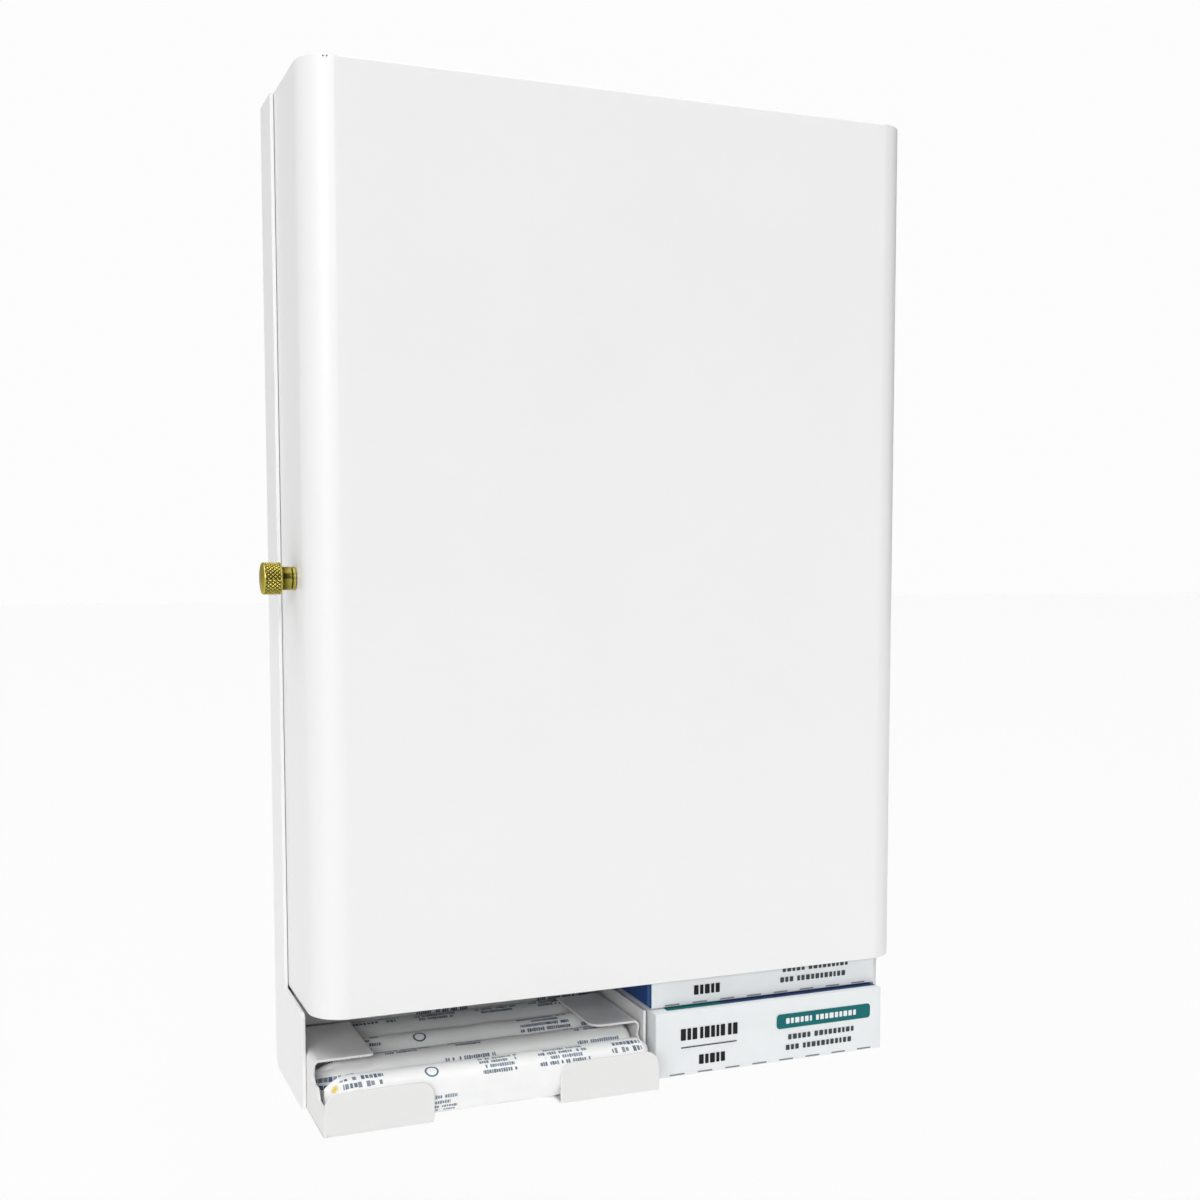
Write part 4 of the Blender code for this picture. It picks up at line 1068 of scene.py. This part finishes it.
def dome_share(along, length):
    """The right end's rounding: 1 along the wrapper, close to 0 at its very end."""
    depth = min(1.0, max(0.0, (along - length / 2 + DOME) / DOME))
    return (1 - depth**DOME_POWER) ** (1 / DOME_POWER) * (1 - DOME_CAP) + DOME_CAP


def wrap_point(along, angle, length, radius, seed):
    """A point of the wrapper about its own axis, X."""
    depth = crimp_depth(along, length)
    flat = math.cos(depth * math.pi / 2) * (1 - WRAP_FLAT) + WRAP_FLAT
    size = radius - SEAM_HEIGHT
    seam = (angle - seed) % (2 * math.pi) * radius
    if seam < SEAM_WIDTH:
        size += SEAM_HEIGHT * min(1.0, seam / SEAM_HEIGHT / SEAM_EASE)
    place = Vector((along, math.cos(angle) * radius, math.sin(angle) * radius + seed))
    size -= DENT_DEPTH * max(0.0, noise.noise(place * DENT_SCALE) + DENT_BASE)
    folds = math.sin(PLEATS * angle + seed * PLEAT_TURN) * math.sin(math.pi * min(1.0, depth))
    size -= PLEAT_DEPTH * max(0.0, folds)
    size *= dome_share(along, length)
    y = math.cos(angle) * size * flat
    z = math.sin(angle) * size * (1 - WRAP_NARROW * depth**2) - WRAP_DROOP * depth**2
    if depth > RIB_START:
        y += RIB_DEPTH * math.sin(2 * math.pi * along / RIB_PITCH) * (depth - RIB_START)
    inset = 0.0
    if depth > RAGGED_START:
        inset = RAGGED * max(0.0, RAGGED_BASE - noise.noise(Vector((seed, z * RAGGED_SCALE, 0))))
    return Vector((along + inset, y, z))


def wrap_rows(length):
    """Places along the wrapper, closer together at its ends."""
    half = length / 2
    end_rows = WRAP_RINGS // 3
    rows = [-half + WRAP_CRIMP * i / end_rows for i in range(end_rows)]
    middle = WRAP_RINGS - 2 * end_rows
    span = length - WRAP_CRIMP - DOME
    rows += [-half + WRAP_CRIMP + span * i / middle for i in range(middle + 1)]
    rows += [half - DOME * math.cos(math.pi / 2 * i / end_rows) for i in range(1, end_rows + 1)]
    return rows


def mark_seal(bm, length):
    """Marks the coloured seal on the front of the left end."""
    layer = bm.verts.layers.float.new("seal")
    for vert in bm.verts:
        place = (vert.co.x + length / 2, math.atan2(vert.co.z, -vert.co.y))
        off = [(value - spot) / reach for value, spot, reach in zip(place, SEAL_PLACE, SEAL_REACH)]
        vert[layer] = max(0.0, min(1.0, SEAL_EDGE - off[0] ** 2 - off[1] ** 2))


def wrapped_mesh(length, radius, seed, sealed):
    """A wrapper, with its own coordinates in millimetres for the print."""
    bm = bmesh.new()
    layer = bm.loops.layers.uv.new("wrap")
    rows = wrap_rows(length)
    shift = [seed * share for share in LAYOUT_SHIFT]
    turns = [2 * math.pi * side / WRAP_SIDES for side in range(WRAP_SIDES)]
    grid = []
    for along in rows:
        grid.append([bm.verts.new(wrap_point(along, turn, length, radius, seed)) for turn in turns])
    for i in range(len(rows) - 1):
        for side in range(WRAP_SIDES):
            spots = ((i, side), (i, side + 1), (i + 1, side + 1), (i + 1, side))
            face = bm.faces.new([grid[row][step % WRAP_SIDES] for row, step in spots])
            for loop, (row, step) in zip(face.loops, spots):
                around = 2 * math.pi * radius * step / WRAP_SIDES
                loop[layer].uv = ((rows[row] + length) / MM + shift[0], around / MM + shift[1])
    for ring in (grid[0], grid[-1]):
        bm.faces.new(ring)
    if sealed:
        mark_seal(bm, length)
    return mesh_of(bm)


def make_tampons(paper):
    """The row in the tray, which overhangs its solids a little, and the column behind it."""
    chance = random.Random(WRAP_SEED)
    for index, node in enumerate(["tampon_front", *numbered("tampon_")]):
        low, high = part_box(node)
        seed = chance.uniform(0.0, 2 * math.pi)
        name = f"wrapped_tampon_{index + 1:02d}"
        length = high.x - low.x
        if index < ROW_COUNT:
            length += 2 * ROW_OVERHANG
        radius = (high.z - low.z) / 2
        piece = new_object(name, wrapped_mesh(length, radius, seed, index == 0))
        piece.data.transform(Matrix.Translation(centre_of(node)))
        smooth(piece.data)
        body = "front_tampon" if node == "tampon_front" else "cabinet"
        dress(piece, paper, body, "paper_wrap", node)


# Cartons


def carton_mesh(size):
    """A carton with soft edges, its wide panels a little dished."""
    bm = bmesh.new()
    bmesh.ops.create_cube(bm, size=1)
    bmesh.ops.scale(bm, vec=size, verts=bm.verts)
    soften(bm, bm.edges[:], CARD_EDGE, EDGE_SEGMENTS)
    wide = [edge for edge in bm.edges if edge.calc_length() > 4 * CARD_EDGE]
    bmesh.ops.subdivide_edges(bm, edges=wide, cuts=CARD_CUTS, use_grid_fill=True)
    half = size / 2
    for vert in bm.verts:
        share = Vector([vert.co[i] / half[i] for i in range(3)])
        axis = max(range(3), key=lambda i: abs(share[i]))
        others = [i for i in range(3) if i != axis]
        dish = math.prod(1 - min(1.0, abs(share[i])) ** 2 for i in others)
        vert.co[axis] -= math.copysign(CARD_BULGE * dish, vert.co[axis])
    return mesh_of(bm)


def card_slots(mesh, inks, end_ink):
    """White all round, but for the two ends."""
    mesh.materials.append(inks["white"])
    mesh.materials.append(inks[end_ink])
    for face in mesh.polygons:
        if abs(face.normal.x) > FACING:
            face.material_index = 1


def patch(bm, corners, ink):
    """A thin flat patch of ink."""
    face = bm.faces.new([bm.verts.new(corner) for corner in corners])
    face.material_index = PRINT_INKS.index(ink)


def front_bar(bm, size, shape, ink, layer=1):
    """A bar with round corners on the front panel, in metres from its top left corner."""
    x, z, width, height, corner = shape
    signs = ((-1, -1), (1, -1), (1, 1), (-1, 1))
    corners = [(x + across * width / 2, z + down * height / 2) for across, down in signs]
    outline = rounded(corners, corner, PRINT_STEPS, closed=True)[::-1]
    y = -size.y / 2 - layer * INK_PROUD
    patch(bm, [(across - size.x / 2, y, size.z / 2 - down) for across, down in outline], ink)


def strokes(bm, size, row, ink, layer=1):
    """A row of short upright strokes; a width of 0 leaves a gap."""
    *place, widths = row
    x, down, height = (value * MM for value in place)
    for width in widths:
        if width:
            shape = (x + width * MM / 2, down, width * MM, height, PRINT_CORNER)
            front_bar(bm, size, shape, ink, layer)
        x += width * MM + STROKE_GAP


def front_print(bm, size):
    """A plain label, plain strokes and a rule on the front panel: shapes only."""
    front_bar(bm, size, [value * MM for value in LABEL], "teal")
    strokes(bm, size, LABEL_STROKES, "white", 2)
    for row in SIDE_STROKES:
        strokes(bm, size, row, "grey")
    strokes(bm, size, BOLD_STROKES, "black")
    strokes(bm, size, LOW_STROKES, "black")
    front_bar(bm, size, [value * MM for value in RULE], "grey")


def edge_ticks(bm, size):
    """Perforation along the panel's lower edge."""
    down = size.z - CARD_EDGE - TICK_HEIGHT / 2
    for step in range(int(size.x / TICK_PITCH)):
        x = TICK_PITCH * (step + TICK_START)
        front_bar(bm, size, (x, down, TICK_LENGTH, TICK_HEIGHT, TICK_HEIGHT / 4), "shade")


def top_print_and_shadow(bm, size):
    """Two flat tones on the top panel, behind a white strip: teal print, then navy that is partly the
    panel's dark print and partly painted shadow of the gap under the carton above.
    """
    z = size.z / 2 + INK_PROUD
    left, front = -size.x / 2, -size.y / 2 + TOP_EDGE * MM
    rear, right = size.y / 2 - CARD_EDGE, size.x / 2 - CARD_EDGE
    first, second = (left + split * MM for split in TOP_SPLIT)
    # The navy tone doubles as painted shadow where the carton above shuts out the light.
    for start, end, ink in ((first, second, "teal"), (second, right, "navy")):
        patch(bm, [(start, front, z), (end, front, z), (end, rear, z), (start, rear, z)], ink)


def end_patch(bm, x, span, half, ink):
    start, end = span
    patch(bm, [(x, end, -half), (x, start, -half), (x, start, half), (x, end, half)], ink)


def end_print(bm, size):
    """A paler band and a small light mark near the front of the left end."""
    x = -size.x / 2 - INK_PROUD
    band, mark = ([value * MM - size.y / 2 for value in span] for span in (END_BAND, END_MARK))
    end_patch(bm, x, band, size.z / 2 - CARD_EDGE, "sky")
    end_patch(bm, x - INK_PROUD, mark, END_MARK_HEIGHT / 2, "white")


def print_mesh(size, inks, blue_ends):
    """All the print on one carton, with the top's navy partly painted shadow, each patch closed to a
    thin plate.
    """
    bm = bmesh.new()
    front_print(bm, size)
    edge_ticks(bm, size)
    top_print_and_shadow(bm, size)
    if blue_ends:
        end_print(bm, size)
    bm.normal_update()
    bmesh.ops.solidify(bm, geom=list(bm.faces), thickness=INK_PROUD)
    mesh = bpy.data.meshes.new("print")
    bm.to_mesh(mesh)
    bm.free()
    for ink in PRINT_INKS:
        mesh.materials.append(inks[ink])
    return mesh


def make_cartons(inks):
    """The stack of cartons and their print; the front one's ends are white."""
    shrink = Vector((2, 2, 1)) * 2 * INK_PROUD
    for index, node in enumerate(["pad_box_front", *numbered("pad_box_")]):
        low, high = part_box(node)
        size = high - low - shrink
        place = Matrix.Translation(centre_of(node))
        blue_ends = index > 0
        piece = new_object(f"pad_carton_{index + 1}", carton_mesh(size))
        card_slots(piece.data, inks, "blue" if blue_ends else "white")
        smooth(piece.data)
        piece.data.transform(place)
        body = "front_box" if node == "pad_box_front" else "cabinet"
        dress(piece, None, body, "printed_card", node)
        label = new_object(f"carton_print_{index + 1}", print_mesh(size, inks, blue_ends))
        label.data.transform(place)
        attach(label, body)


# CAD nodes that stay in view


def paint_nodes(coat, zinc, brass):
    guides = ["magazine_left", "magazine_right", "pad_guide_left", "pad_guide_right", "pad_shelf"]
    rivets = numbered("cabinet_rivet_") + numbered("cover_rivet_")
    hinge = ["hinge_leaf_cabinet", "hinge_pin", "hinge_leaf_cover"]
    finishes = (
        (coat, guides + rivets),
        (zinc, hinge + ["latch_keeper", "retaining_ring"]),
        (brass, ["clamp_nut"]),
    )
    for material, names in finishes:
        for name in names:
            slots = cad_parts[name].data.materials
            slots.clear()
            slots.append(material)


# Studio


def make_camera():
    data = bpy.data.cameras.new("photo_view")
    data.lens = CAMERA_LENS
    data.sensor_width = CAMERA_SENSOR
    data.shift_x, data.shift_y = CAMERA_SHIFT
    camera = new_object("photo_view", data)
    camera.location = CAMERA_PLACE
    camera.rotation_euler = CAMERA_TURN
    bpy.context.scene.camera = camera


def make_sun(name, strength, spread, turn):
    data = bpy.data.lights.new(name, "SUN")
    data.energy = strength
    data.angle = math.radians(spread)
    lamp = new_object(name, data)
    lamp.rotation_euler = [math.radians(angle) for angle in turn]


def background(tree, strength):
    return new_node(tree, "Background", {"Color": WHITE_LIGHT, "Strength": strength}).outputs[0]


def sheen_strength(tree):
    place = new_node(tree, "TexCoord").outputs["Generated"]
    axes = new_node(tree, "SeparateXYZ", {0: place}).outputs
    total = 0.0
    for steps in SHEEN:
        glow = product(tree, *(mapped(tree, axes[i], span, "SMOOTHSTEP") for i, *span in steps))
        total = maths(tree, "ADD", total, glow)
    return total


def by_ray(tree, kind, others, own):
    """One light for a kind of ray and another for all others."""
    ray = new_node(tree, "LightPath").outputs[kind]
    return new_node(tree, "MixShader", {0: ray, 1: others, 2: own}).outputs[0]


def make_world():
    world = bpy.data.worlds.new("studio")
    bpy.context.scene.world = world
    world.use_nodes = True
    tree = world.node_tree
    tree.nodes.clear()
    mirrored = background(tree, sheen_strength(tree))
    lit = by_ray(tree, "Is Diffuse Ray", mirrored, background(tree, AMBIENT))
    seen = by_ray(tree, "Is Camera Ray", lit, background(tree, BACKDROP_WHITE))
    new_node(tree, "OutputWorld", {0: seen})


def make_floor():
    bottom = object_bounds()[0][2]
    bm = bmesh.new()
    bmesh.ops.create_grid(bm, x_segments=1, y_segments=1, size=FLOOR_SIZE)
    floor = new_object("pale_floor", mesh_of(bm))
    floor.location.z = bottom - FLOOR_DROP
    made, tree, shader = principled("pale_floor")
    feed(tree, shader, {"Base Color": FLOOR_WHITE, "Roughness": FLOOR_ROUGHNESS})
    floor.data.materials.append(made)


def make_studio():
    make_camera()
    make_world()
    for name, sun in SUNS.items():
        make_sun(name, *sun)
    make_floor()
    bpy.context.scene.view_settings.view_transform = "Standard"


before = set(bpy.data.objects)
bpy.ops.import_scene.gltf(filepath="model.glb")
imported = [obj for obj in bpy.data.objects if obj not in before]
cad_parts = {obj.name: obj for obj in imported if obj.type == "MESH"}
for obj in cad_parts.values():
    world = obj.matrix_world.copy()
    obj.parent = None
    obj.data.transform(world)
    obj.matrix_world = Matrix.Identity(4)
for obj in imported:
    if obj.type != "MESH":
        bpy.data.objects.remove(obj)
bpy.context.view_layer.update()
white_coat = coat_material("white_powder_coat", COAT_TONES)
# The tray gets a darker copy of the white coat, as painted shade.
shaded_tray_coat = coat_material("tray_powder_coat_painted_shade", TRAY_SHADED_TONES)
zinc_plate = zinc_material()
brass_metal = brass_material()
card_inks = {name: card_material(f"card_{name}", *ink) for name, ink in CARD_INKS.items()}
make_cover_shell(white_coat)
make_pan_shell(white_coat)
make_tray_shell(shaded_tray_coat)
make_knob(brass_metal)
make_tampons(wrapper_material())
make_cartons(card_inks)
paint_nodes(white_coat, zinc_plate, brass_metal)
make_studio()
